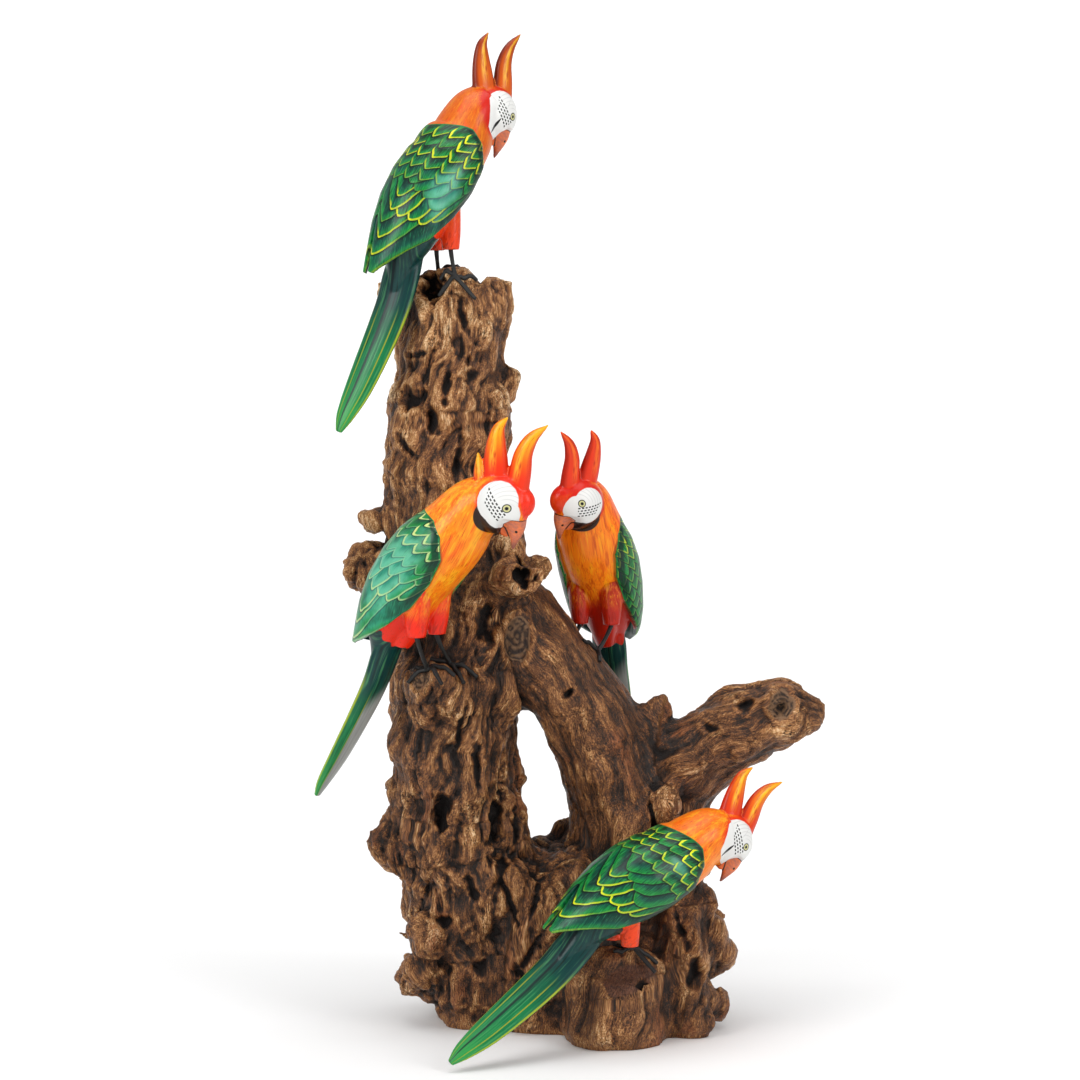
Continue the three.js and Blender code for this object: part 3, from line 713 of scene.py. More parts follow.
# Painted shade, nearly black, in the dug hollows, the peg hole and the creases, with the dark cracks.
deep = cracks_and_crease_shade.most((pit + (speck - 0.5) * 0.5).rise(0.25, 0.9))
base = wood.mix(deep * 0.93, base, SHADE_AND_CRACK_BLACK)
base = wood.mix(sawn * (1 - pit.rise(0.2, 0.6)), base, wood.mix(thread.rise(0.3, 0.7), *SAWN_TONES))
base = wood.mix(ring.rise(0.1, 0.4) * 0.9, base, wood.mix(ring.rise(0.45, 0.95), *KNOT_TONES))
wood.feed("Base Color", base)
wood.feed("Roughness", 0.44 + deep * 0.4 + (streak - 0.5) * 0.3)
fine = thread * 0.8 + streak * 1.1 + speck * 0.6 - cracks_and_crease_shade * 0.7
wood.feed("Normal", wood.bump(fine, 0.0021, 1.0))

root = shown("root", root_mesh, wood)
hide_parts("driftwood_root")
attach(root, "root")
ground = surface_of(root_mesh)


# The parrots.
# Each is carved from one block of soft wood with its folded wings, tail and horned crest, sanded smooth,
# painted by hand in acrylics and varnished. All four follow one pattern, bent and turned differently.
BIRD_VOXEL = 1.2

# Stations of each form: x, y, z, half width and half depth. A parrot's own +Z runs up its spine, and its +X
# points out of its breast.
BODY = [
    (-2, 0, -52, 5, 8), (-5, 0, -30, 12, 16), (-9, 0, -5, 23, 28), (-10, 0, 25, 31.5, 36.5),
    (-9, 0, 50, 34.5, 39), (-5, 0, 70, 36, 40), (-1, 0, 85, 36.5, 39.5), (3, 0, 100, 36.5, 38),
    (7, 0, 115, 34.5, 36), (10, 0, 130, 31.5, 32), (16, 0, 146, 29, 29), (26, 0, 160, 24, 24),
]
TAIL = [
    (-5, 0, 0, 12, 16), (-1, 0, -32, 10, 19.5), (3, 0, -62, 8.5, 19), (4, 0, -100, 7.5, 18),
    (3, 0, -150, 6, 15), (1, 0, -182, 4.5, 10), (1, 0, -200, 2.5, 3.5),
]
UNDERTAIL = [(4, 0, 20, 18, 20), (8, 0, -6, 14, 16), (10, 0, -30, 8, 10)]
THIGH = {"end": (30, 18, 8), "length": 46, "stations": [(15, 16), (12, 12.5), (8.5, 9)], "middle": 0.6}

# Where the neck starts to bend, and where the middle of the head lies on the pattern before it is bent.
NECK_START = 70
HEAD_FORWARD = 38
HEAD_HEIGHT = 160
NAPE_SHAVING = 3.2

# Rows of the wing: height, oval's middle, half depth, half width, front and back edge in degrees from the
# breast, thickness, and how many degrees the front edge of a tightly folded wing lies further back.
WING = [
    (124, 8, 32, 32, 112, 180, 7, 0), (112, 5, 39, 38, 76, 180, 9, 2), (92, 0, 43, 42.5, 54, 180, 11, 0),
    (64, -6, 43, 45, 44, 180, 12, 0), (34, -9, 42, 44, 47, 179, 12, 8), (4, -9, 39, 41, 62, 177, 11, 16),
    (-14, -6, 38.5, 37, 80, 174, 8, 26), (-32, -3, 38, 31, 108, 171, 6, 24),
    (-46, 0, 38, 27, 142, 167, 4, 14),
]
WING_BEND = 34
# The front edge curves inwards over one part in so many of the wing's width, by so much.
WING_EDGE = {"parts": 9, "depth": 1.6}
# Where the wing's upper edge drops towards the back: degrees, and heights.
NAPE = {"start": 100, "end": 180, "top": 124, "base": 64}

# The head's own forms, about its middle: eggs as middle and half sizes, and stations of the beak and horns.
SKULL = ((-1.5, 0, 1), (29.5, 25.5, 29))
BROW = ((13.5, 0, 11.5), (16.5, 13, 16))
JAW_CORNER = (6.5, -6.3)
JAW_SLOPE = math.radians(17.6)
UPPER_BEAK = [
    (11, 0, 4, 12.5, 11.5), (16.5, 0, -3, 12, 11.5), (21.8, 0, -10.5, 9.9, 9), (25, 0, -17.5, 6.7, 6),
    (27, 0, -24, 3.8, 3.6), (29, 0, -32, 1.2, 1.2),
]
LOWER_BEAK = [(2, 0, -13, 7.5, 9), (9, 0, -18, 6.8, 8), (14.5, 0, -21, 4.5, 5.5), (19.5, 0, -23, 1.5, 2)]
HORNS = [
    [(7, 0, 20, 12, 9), (2, 0, 38, 11, 7.5), (-3, 0, 56, 9, 6), (-2, 0, 74, 6, 4.2), (6, 0, 92, 1, 0.8)],
    [
        (-15, 0, 18, 13, 9), (-24, 0, 36, 12, 7.5), (-31, 0, 51, 9.5, 6), (-35, 0, 65, 6, 4.2),
        (-32, 0, 79, 1, 0.8),
    ],
    [(-22, 0, 8, 10, 7), (-32, 0, 19, 7.5, 5), (-43, 0, 34, 1, 1)],
]

# How each parrot sits, in millimetres and degrees.
# hips: their place on the root. heading, lean: where the breast faces, and how far it leans over. size:
# against the pattern. head, turn, nod, head_size: the head's middle, how it is turned and bent, and its
# size. tilt, horns: how far the crest is laid forward, and the number of horns. brow: the brow's size.
# feet: where they stand. toe_turn, toes: how the toes are turned and shortened. slim: share of the wood
# taken off the nape. fold, reach: how tightly the wings are folded and how long they are. nape_drop: how
# far their upper edge falls at the back. undertail, thighs: the undertail's length and the thighs' width.
# tail_turn: how the tail's flat is turned.
PERCHES = {
    "top": dict(
        hips=(-154, -30, 779), heading=25, lean=24.2, size=1.0, head=(22, 0, 150), turn=10, nod=10, tilt=-16,
        head_size=0.96, feet={"right": (-114, -36), "left": (-132, 10)}, toe_turn=-25, toes=0.85, slim=1.0,
        fold=1.0, reach=1.0, nape_drop=10, undertail=0, thighs=0.66, tail_turn=42, horns=2, brow=0.84,
    ),
    "left": dict(
        hips=(-166, -100, 410), heading=-30, lean=30, size=1.0, head=(38, 0, 161), turn=14, nod=0, tilt=0,
        head_size=1.0, feet={"right": (-140, -98), "left": (-119, -78)}, toe_turn=0, toes=1.0, slim=0.0,
        fold=0.4, reach=0.9, nape_drop=4, undertail=0.72, thighs=1.0, tail_turn=-4, horns=3, brow=1.0,
    ),
    "right": dict(
        hips=(35, 50, 404), heading=-110, lean=25, size=0.93, head=(30, 0, 156), turn=-38, nod=0, tilt=0,
        head_size=0.97, feet={"right": (2, 26), "left": (27, 8)}, toe_turn=0, toes=0.8, slim=0.0,
        fold=0.2, reach=1.0, nape_drop=17, undertail=1.0, thighs=0.86, tail_turn=0, horns=2, brow=1.1,
    ),
    "front": dict(
        hips=(26, -145, 126), heading=26, lean=53.7, size=0.98, head=(26.5, 0, 157), turn=-4, nod=0, tilt=-8,
        head_size=0.93, feet={"right": (59, -117), "left": (44, -94)}, toe_turn=-30, toes=0.95, slim=0.5,
        fold=1.0, reach=1.0, nape_drop=12, undertail=0, thighs=0.66, tail_turn=42, horns=2, brow=0.84,
    ),
}


def smooth_line(stations, count):
    """Stations as count smooth samples from end to end."""
    rows = np.array(stations, dtype=float)
    padded = np.vstack([2 * rows[0] - rows[1], rows, 2 * rows[-1] - rows[-2]])
    place = np.linspace(0, len(rows) - 1, count)
    k = np.minimum(place.astype(int), len(rows) - 2)
    t = (place - k)[:, None]
    p0, p1, p2, p3 = (padded[k + step] for step in range(4))
    square = 2 * p0 - 5 * p1 + 4 * p2 - p3
    cube = 3 * p1 - p0 - 3 * p2 + p3
    line = 0.5 * (2 * p1 + (p2 - p0) * t + square * t**2 + cube * t**3)
    line[:, 3:] = np.maximum(line[:, 3:], 0.3)
    return line


def line_axes(line, deep_axis):
    """At each sample of a line: its way, and the axes of its depth and of its width."""
    way = np.gradient(line[:, :3], axis=0)
    way /= np.linalg.norm(way, axis=1)[:, None]
    deep = np.array(deep_axis, dtype=float) - way * (way @ np.array(deep_axis, dtype=float))[:, None]
    deep /= np.linalg.norm(deep, axis=1)[:, None]
    return way, deep, np.cross(way, deep)


def put_in(shape, part):
    """Adds a finished part to a shape."""
    mesh = bpy.data.meshes.new("part")
    part.to_mesh(mesh)
    part.free()
    shape.from_mesh(mesh)
    bpy.data.meshes.remove(mesh)


def carved_rod(shape, stations, sides=28, rings=36, deep_axis=(0, 1, 0), matrix=None):
    """Adds a rod of changing oval section along its stations."""
    rod = bmesh.new()
    bmesh.ops.create_cone(rod, cap_ends=True, cap_tris=True, segments=sides, radius1=1, radius2=1, depth=1)
    uprights = [edge for edge in rod.edges if abs(edge.verts[0].co.z - edge.verts[1].co.z) > 0.5]
    bmesh.ops.subdivide_edges(rod, edges=uprights, cuts=rings - 1, use_grid_fill=True)
    line = smooth_line(stations, rings + 1)
    _, deep, wide = line_axes(line, deep_axis)
    for vert in rod.verts:
        ring = round((vert.co.z + 0.5) * rings)
        place = (
            line[ring, :3] + wide[ring] * vert.co.x * line[ring, 3] + deep[ring] * vert.co.y * line[ring, 4]
        )
        vert.co = matrix @ Vector(place) if matrix else Vector(place)
    put_in(shape, rod)


def carved_egg(shape, middle, half, matrix):
    place = matrix @ Matrix.Translation(middle) @ Matrix.Diagonal((*half, 1))
    bmesh.ops.create_uvsphere(shape, u_segments=40, v_segments=24, radius=1, matrix=place)


def into_jaw(x, z):
    """How far a point of the head lies ahead of and below the corner cut out of the skull for the beak."""
    ahead, up = x - JAW_CORNER[0], z - JAW_CORNER[1]
    return (
        ahead * math.cos(JAW_SLOPE) + up * math.sin(JAW_SLOPE),
        ahead * math.sin(JAW_SLOPE) - up * math.cos(JAW_SLOPE),
    )


def carved_skull(shape, matrix):
    """Adds the skull, cut away below the face for the beak."""
    skull = bmesh.new()
    carved_egg(skull, *SKULL, Matrix())
    for vert in skull.verts:
        forward, below = into_jaw(vert.co.x, vert.co.z)
        if forward > 0 and below > 0:
            if forward < below:
                vert.co += Vector((-math.cos(JAW_SLOPE), 0, -math.sin(JAW_SLOPE))) * forward
            else:
                vert.co += Vector((-math.sin(JAW_SLOPE), 0, math.cos(JAW_SLOPE))) * below
        vert.co = matrix @ vert.co
    put_in(shape, skull)


def wing_rows(perch):
    """The wing's rows for one parrot: folded to its own degree and as long as its own."""
    rows = []
    for height, middle, deep, wide, front, back, thick, fold in WING:
        if height < WING_BEND:
            height = WING_BEND + (height - WING_BEND) * perch["reach"]
        rows.append((height, middle, deep, wide, front + fold * perch["fold"], back, thick))
    return rows


def nape_fall(height, degrees, drop):
    """How far the wing's upper edge lies lower towards the middle of the back."""
    upper = min(max((height - NAPE["base"]) / (NAPE["top"] - NAPE["base"]), 0.0), 1.0)
    return drop * upper * smooth_step(degrees, NAPE["start"], NAPE["end"])


def carved_wing(shape, side, rows, drop):
    """Adds a folded wing: a sheet on the oval of the body, with thickness."""
    wing = bmesh.new()
    bmesh.ops.create_grid(wing, x_segments=30, y_segments=60, size=0.5)
    inner = bmesh.ops.extrude_face_region(wing, geom=wing.faces[:], use_keep_orig=True)["geom"]
    inner = [part for part in inner if isinstance(part, bmesh.types.BMVert)]
    bmesh.ops.translate(wing, vec=(0, 0, -1), verts=inner)
    for vert in wing.verts:
        row = (0.5 - vert.co.y) * (len(rows) - 1)
        k = min(int(row), len(rows) - 2)
        numbers = np.array(rows[k]) * (1 - row + k) + np.array(rows[k + 1]) * (row - k)
        height, middle, deep, wide, front, back, thick = numbers
        degrees = front + (back - front) * (vert.co.x + 0.5)
        angle = math.radians(degrees)
        edge = max(0.0, 1 - (vert.co.x + 0.5) * WING_EDGE["parts"])
        inset = thick if vert.co.z < -0.5 else WING_EDGE["depth"] * edge * edge
        vert.co = (
            middle + (deep - inset) * math.cos(angle), side * (wide - inset) * math.sin(angle),
            height - nape_fall(height, degrees, drop),
        )
    put_in(shape, wing)


def bird_matrix(perch):
    turned = Matrix.Rotation(math.radians(perch["heading"]), 4, "Z")
    leant = Matrix.Rotation(math.radians(perch["lean"]), 4, "Y")
    return Matrix.Translation(perch["hips"]) @ turned @ leant @ Matrix.Scale(perch["size"], 4)


def head_matrix(perch):
    turned = Matrix.Rotation(math.radians(perch["turn"]), 4, "Z")
    nodded = Matrix.Rotation(math.radians(perch["nod"]), 4, "Y")
    return Matrix.Translation(perch["head"]) @ turned @ nodded @ Matrix.Scale(perch["head_size"], 4)


def crest_tilt(perch):
    return Matrix.Rotation(math.radians(perch["tilt"]), 4, "Y")


def brow_egg(perch):
    return BROW[0], tuple(half * perch["brow"] for half in BROW[1])


def bent_body(perch):
    """The body's stations, bent to where the head is, with the nape shaved."""
    rows = []
    for x, y, z, wide, deep in BODY:
        share = max(0.0, (z - NECK_START) / (HEAD_HEIGHT - NECK_START))
        off = NAPE_SHAVING * perch["slim"] * smooth_step(z, 95, 120)
        rows.append((x + (perch["head"][0] - HEAD_FORWARD) * share + off, y, z, wide - off, deep))
    return rows


def thigh_line(perch, side):
    """Upper and lower end of a thigh, which hangs upright whatever the parrot's lean."""
    lean = math.radians(perch["lean"])
    up = Vector((-math.sin(lean), 0, math.cos(lean)))
    end = Vector((THIGH["end"][0], side * THIGH["end"][1], THIGH["end"][2]))
    return end + up * THIGH["length"], end


def carve_parrot(name, perch):
    """The mesh of one parrot in its own frame, in millimetres."""
    shape = bmesh.new()
    carved_rod(shape, bent_body(perch), 40, 60)
    tail_side = Matrix.Rotation(math.radians(perch["tail_turn"]), 3, "Z") @ Vector((0, 1, 0))
    carved_rod(shape, TAIL, 28, 60, deep_axis=tuple(tail_side))
    if perch["undertail"]:
        top = UNDERTAIL[0][2]
        rows = [(x, y, top + (z - top) * perch["undertail"], a, b) for x, y, z, a, b in UNDERTAIL]
        carved_rod(shape, rows, 28, 16)
    for side in (1, -1):
        carved_wing(shape, side, wing_rows(perch), perch["nape_drop"])
        start, end = thigh_line(perch, side)
        places = (start, start.lerp(end, THIGH["middle"]), end)
        slims = (perch["thighs"], (perch["thighs"] + 1) / 2, 1.0)
        sizes = [(wide * slim, deep * slim) for (wide, deep), slim in zip(THIGH["stations"], slims)]
        rows = [(*place, *size) for place, size in zip(places, sizes)]
        carved_rod(shape, rows, 20, 20)
    to_body = head_matrix(perch)
    carved_skull(shape, to_body)
    carved_egg(shape, *brow_egg(perch), to_body)
    carved_rod(shape, UPPER_BEAK, 24, 24, matrix=to_body)
    carved_rod(shape, LOWER_BEAK, 20, 16, matrix=to_body)
    for horn in HORNS[:perch["horns"]]:
        carved_rod(shape, horn, 24, 36, matrix=to_body @ crest_tilt(perch))
    bmesh.ops.recalc_face_normals(shape, faces=shape.faces)
    mesh = worked(shape, [
        ("REMESH", {"mode": "VOXEL", "voxel_size": BIRD_VOXEL}),
        ("SMOOTH", {"factor": 0.5, "iterations": 5}),
    ])
    mesh.name = name
    return mesh


def nearest_on(points, stations, count=48):
    """For each point: share along a form, rough distance from its skin, and side offset in half widths."""
    line = smooth_line(stations, count)
    way, deep, wide = line_axes(line, (0, 1, 0))
    apart = points[:, None, :] - line[None, :, :3]
    a = np.einsum("ijk,jk->ij", apart, wide) / line[:, 3]
    b = np.einsum("ijk,jk->ij", apart, deep) / line[:, 4]
    c = np.einsum("ijk,jk->ij", apart, way)
    size = np.minimum(line[:, 3], line[:, 4])
    skin = (np.hypot(a, b) - 1) * size
    distance = np.hypot(np.maximum(skin, 0), np.abs(c)) + np.minimum(skin, 0)
    k = distance.argmin(axis=1)
    rows = np.arange(len(points))
    return k / (count - 1), distance[rows, k], a[rows, k]


def egg_distance(points, middle, half):
    return (np.linalg.norm((points - middle) / half, axis=1) - 1) * min(half)


def in_frame(points, matrix):
    """Points in the coordinates of a frame that the matrix places."""
    rows = np.column_stack([points, np.ones(len(points))])
    return (rows @ np.array(matrix.inverted()).T)[:, :3]


def mark_wings(mesh, perch):
    """Keeps for the paint where each point lies on the parrot, its folded wings and its tail."""
    x, y, z = points_of(mesh).T
    degrees = np.degrees(np.arctan2(np.abs(y), x))
    z = z + np.array([nape_fall(up, turn, perch["nape_drop"]) for up, turn in zip(z, degrees)])
    put_attribute(mesh, "bird", x, y, z)

    # Wing: arc from the back, height, and distance inside the wing's outline.
    wing = wing_rows(perch)
    columns = np.array(wing[::-1]).T
    middle, deep, wide, front, back, thick = (np.interp(z, columns[0], column) for column in columns[1:])
    angle = np.degrees(np.arctan2(np.abs(y) / wide, (x - middle) / deep))
    radius = (deep + wide) / 2
    ratio = np.hypot(y / wide, (x - middle) / deep)
    from_front = np.radians(angle - front) * radius
    from_back = np.where(back > 178.5, 60, np.radians(back - angle) * radius)
    proud = (ratio - 1) * radius + 0.6 * thick
    inside = np.minimum.reduce([from_front, from_back + 1.5, 121.5 - z, z - wing[-1][0] + 1.5, 2 * proud])
    put_attribute(mesh, "wing", np.radians(180 - angle) * radius, z, inside)
    put_attribute(mesh, "wing_front", from_front)

    # Tail: place across it from edge to edge, and towards its underside.
    tail = smooth_line(TAIL, 60)[::-1]
    tail_x, tail_thick, tail_wide = (np.interp(z, tail[:, 2], tail[:, k]) for k in (0, 3, 4))
    turn = math.radians(perch["tail_turn"])
    across = (y * math.cos(turn) - (x - tail_x) * math.sin(turn)) / tail_wide
    through = ((x - tail_x) * math.cos(turn) + y * math.sin(turn)) / tail_thick
    put_attribute(mesh, "tail", across, through)


def mark_head(mesh, perch):
    """Keeps for the paint where each point lies on the face, the beak, the horns and the thighs."""
    points = points_of(mesh)
    in_head = in_frame(points, head_matrix(perch))
    in_crest = in_frame(in_head, crest_tilt(perch))
    put_attribute(mesh, "face", in_head[:, 0], np.abs(in_head[:, 1]), in_head[:, 2])

    # Beak and horns: how far inside each a point is, against what it grows from.
    in_jaw = np.minimum(*into_jaw(in_head[:, 0], in_head[:, 2]))
    skull_skin = np.maximum(egg_distance(in_head, *SKULL), in_jaw)
    head_skin = np.minimum(skull_skin, egg_distance(in_head, *brow_egg(perch)))
    round_about = np.minimum(head_skin, nearest_on(points, bent_body(perch))[1])
    upper = nearest_on(in_head, UPPER_BEAK)
    lower = nearest_on(in_head, LOWER_BEAK)
    put_attribute(mesh, "beak", round_about - np.minimum(upper[1], lower[1]), lower[1] - upper[1], upper[0])
    horns = np.array([nearest_on(in_crest, horn) for horn in HORNS[:perch["horns"]]])
    shares, skins, sides = horns.swapaxes(0, 1)
    which = skins.argmin(axis=0)
    rows = np.arange(len(points))
    put_attribute(mesh, "horn", round_about - skins[which, rows], shares[which, rows], sides[which, rows])

    thighs = []
    for side in (1, -1):
        start, end = thigh_line(perch, side)
        ends = [(*start, *THIGH["stations"][0]), (*end, *THIGH["stations"][2])]
        thighs.append(nearest_on(points, ends, 60))
    (one_share, one_skin, _), (other_share, other_skin, _) = thighs
    nearer_share = np.where(one_skin < other_skin, one_share, other_share)
    put_attribute(mesh, "thigh", np.minimum(one_skin, other_skin), nearer_share)


# Hand-painted colours of each parrot. red_reach: how far the red of the face spreads over the neck. light:
# colour of the pale brush strokes. rump: height where the green of the tail begins. ruff: whether the white
# of the face runs down in a straight-edged ruff. face_turn: degrees by which the markings of the face are
# turned upwards at the beak. band: middle and radius of the black round whose lower edge shows below a face
# without a ruff, and how far forward it reaches.
PALETTES = {
    "top": dict(
        nape=(0.60, 0.105, 0.003), breast=(0.62, 0.11, 0.003), belly=(0.78, 0.050, 0.008),
        brow=(0.55, 0.010, 0.002), light=(0.72, 0.22, 0.006), stripe=(0.80, 0.42, 0.015),
        horn_foot=(0.60, 0.090, 0.004), horn_tip=(0.36, 0.050, 0.003), horn_edge=(0.14, 0.010, 0.002),
        red_reach=36, rump=12, ruff=True, face_turn=0,
    ),
    "left": dict(
        nape=(0.90, 0.22, 0.012), breast=(0.90, 0.22, 0.006), belly=(0.80, 0.020, 0.003),
        brow=(0.80, 0.022, 0.003), light=(0.95, 0.50, 0.020), stripe=(0.92, 0.46, 0.020),
        horn_foot=(0.80, 0.030, 0.003), horn_tip=(0.90, 0.40, 0.008), horn_edge=(0.70, 0.030, 0.003),
        red_reach=25, rump=-13, ruff=False, face_turn=0, band=(2, -9.5, 18.6, 12),
    ),
    "right": dict(
        nape=(0.84, 0.090, 0.004), breast=(0.90, 0.19, 0.004), belly=(0.45, 0.012, 0.002),
        brow=(0.62, 0.012, 0.003), light=(0.94, 0.38, 0.008), stripe=(0.86, 0.16, 0.012),
        horn_foot=(0.72, 0.030, 0.003), horn_tip=(0.68, 0.040, 0.004), horn_edge=(0.40, 0.010, 0.002),
        red_reach=31, rump=-28, ruff=False, face_turn=38, band=(1, -12, 19.5, 20),
    ),
    "front": dict(
        nape=(0.82, 0.16, 0.005), breast=(0.84, 0.20, 0.005), belly=(0.82, 0.055, 0.006),
        brow=(0.72, 0.030, 0.004), light=(0.92, 0.42, 0.012), stripe=(0.90, 0.50, 0.008),
        horn_foot=(0.68, 0.040, 0.004), horn_tip=(0.82, 0.28, 0.006), horn_edge=(0.50, 0.020, 0.003),
        red_reach=29, rump=12, ruff=True, face_turn=0,
    ),
}
INK = (0.004, 0.0035, 0.0035)
DEEP_GREEN = (0.0008, 0.0070, 0.0050)

# Painted feathers of each wing, in millimetres of arc from the back and of height. bars: heights of the
# rows of pointed feathers and how bright their edges are. period, first: width of a feather and arc to the
# first. slip: how far each row is shifted. rake: rise of a row towards the breast. slope: rise of a
# feather's lower edge. point: slope of its short side. round: how softly the two meet at its tip. quills:
# the long feathers from the tip of the wing upwards, each the arc and height of its own tip, the slope and
# bend of its lower edge, and how bright that edge is. edge, fade: colours of an edge, bright and faint.
# shade: width of the dark line below it. glow: middle and half sizes of the pale patch of the wing, and how
# pale it is; the patch is partly pale teal paint and partly a painted highlight. ground: the green under
# them at the shoulder and below it.
QUILLS = [(8, -29, 0.35, 0.013, 1), (13, -12, 0.3, 0.02, 1), (12, 3, 0.4, 0.02, 0.35)]
COVERTS = [
    (66, 19, 0.4, 0.03, 0.7), (53, 13, 0.15, 0.04, 1), (42, 12.5, 0.12, 0.04, 1), (30, 12.5, 0.2, 0.04, 1),
    (20, 17, 0.15, 0.035, 1), (23, 31, 0.2, 0.05, 0.8), (60, 30, 0.1, 0.03, 0.1), (50, 38, 0.1, 0.03, 0.1),
    (39, 42, 0.1, 0.03, 0.1), (30, 48, 0.1, 0.03, 0.1),
]
PLUMAGES = {
    "top": dict(
        bars=((104.5, 1), (92.5, 1), (79.5, 0.9), (66, 0.6), (54, 0.45)), quills=QUILLS + COVERTS,
        period=16.2, first=4.8, slip=0.5, rake=0.10, slope=0.5, point=2.3, round=8,
        edge=(0.72, 0.74, 0.008), fade=(0.02, 0.26, 0.03), shade=3.2, glow=((66, 48), (19, 34), 0.75),
        ground=((0.001, 0.045, 0.012), (0.001, 0.085, 0.055)),
    ),
    "left": dict(
        bars=((113, 1), (99, 1), (86, 0.8), (70, 0.25)),
        quills=[
            (21.8, -31, 0.6, 0.012, 0.9), (30, -13, 0.7, 0.02, 0.9), (38.9, 1.8, 0.85, 0.03, 0.9),
            (83, 38, 0.8, 0.03, 0.7), (72, 31, 0.8, 0.05, 0.8), (61, 30, 0.8, 0.05, 0.8),
            (49, 30, 0.8, 0.05, 0.8), (36, 34, 0.8, 0.05, 0.7), (90, 60, 0.7, 0.03, 0.4),
            (76, 54, 0.7, 0.03, 0.45), (61, 54, 0.7, 0.03, 0.45), (45, 53, 0.7, 0.03, 0.45),
            (30, 56, 0.7, 0.03, 0.4),
        ],
        period=16, first=-0.5, slip=1.5, rake=0.0, slope=1.0, point=2.2, round=50,
        edge=(0.66, 0.76, 0.26), fade=(0.20, 0.60, 0.36), shade=1.5, glow=((56, 56), (30, 58), 0.8),
        ground=((0.004, 0.16, 0.05), (0.005, 0.30, 0.15)),
    ),
    "right": dict(
        bars=(
            (110, 1), (98, 0.9), (86, 0.8), (74, 0.7), (62, 0.5), (50, 0.4), (38, 0.35), (26, 0.3),
            (14, 0.3), (2, 0.3), (-11, 0.3), (-24, 0.3),
        ),
        quills=[],
        period=12.5, first=3, slip=6.2, rake=0.0, slope=1.3, point=2.6, round=14,
        edge=(0.56, 0.66, 0.008), fade=(0.01, 0.28, 0.02), shade=2.6, glow=((60, 60), (10, 10), 0.0),
        ground=((0.002, 0.060, 0.010), (0.001, 0.060, 0.025)),
    ),
    "front": dict(
        bars=((106, 1), (94.5, 1), (81, 0.8), (66, 0.5)), quills=QUILLS + COVERTS,
        period=14.4, first=6.5, slip=4.0, rake=0.04, slope=0.45, point=2.0, round=10,
        edge=(0.78, 0.80, 0.006), fade=(0.01, 0.34, 0.06), shade=3.2, glow=((60, 88), (14, 10), 0.5),
        ground=((0.001, 0.036, 0.012), (0.001, 0.075, 0.048)),
    ),
}


class Stamp(Nodes):
    """A group of nodes that many finishes use, with numbers going in and coming out."""

    def __init__(self, name, numbers):
        self.tree = bpy.data.node_groups.new(name, "ShaderNodeTree")
        for number in numbers:
            self.tree.interface.new_socket(number, in_out="INPUT", socket_type="NodeSocketFloat")
        self.values = self.node("NodeGroupInput", output=range(len(numbers)))

    def give(self, **results):
        for name in results:
            self.tree.interface.new_socket(name, in_out="OUTPUT", socket_type="NodeSocketFloat")
        self.node("NodeGroupOutput", {}, results, output=range(0))


# One painted feather laid over those before it. along, up: place from its tip towards the breast and the
# shoulder. over: distance above the edge of the uppermost feather so far. bright: how bright that edge is.
# shade: the dark line below an edge. number: which feather it is.
LAID = ("over", "bright", "shade", "number")
feather_stamp = Stamp("painted_feather", [
    "along", "up", "slope", "bend", "point", "round", "depth", "strength", "index", *LAID,
])
along, up, slope, bend, point, rounding, depth, strength, index = feather_stamp.values[:-len(LAID)]
over, bright, shade, number = feather_stamp.values[-len(LAID):]
ahead = along.most(0.0)
long_side = along * slope + ahead * ahead * bend
short_side = -along * point
apart = long_side - short_side
line = (long_side + short_side + (apart * apart + rounding).root() - rounding.root()) * 0.5
steep = ahead * 2.0 * bend + slope + along.rise(0.5, -0.5) * (point - slope)
above = (up - line) / (steep * steep + 1.0).root()
own = above.rise(-0.12, 0.12)
short_end = bend.rise(0.0, 0.01) * 6.0 - 12.0
drawn = strength * along.rise(short_end, short_end + 6.0)
drawn = drawn * (1 - along.rise(18.0, 34.0) * 0.7) * (1 - along.rise(0.5, 4.5) * 0.22)
feather_stamp.give(
    over=over + own * (above - over), bright=bright + own * (drawn - bright),
    shade=(above / depth).rise(-1.0, 0.0).most(shade) * (1 - own), number=number + own * (index - number),
)


def lay_feather(coat, plumage, laid, **feather):
    """What is laid once one more feather lies over it."""
    kind = {"point": plumage["point"], "round": plumage["round"], "depth": plumage["shade"]}
    sockets = {**feather, **kind, **dict(zip(LAID, laid))}
    return coat.node("ShaderNodeGroup", {"node_tree": feather_stamp.tree}, sockets, output=range(len(LAID)))


# The pale patch of the wing: partly pale teal paint and partly a painted highlight.
GLOW = (0.17, 0.58, 0.40)
GLOW_AT_EDGE = (0.030, 0.30, 0.20)
GLOW_SHADE = (0.055, 0.16, 0.15)
DARK_FEATHER = (0.002, 0.030, 0.022)
FEATHER_EDGE = (0.006, 0.23, 0.030)
WING_BARB = (0.05, 0.40, 0.17)
WING_FRONT = (0.001, 0.018, 0.012)
WING_RIM = (0.004, 0.17, 0.04)


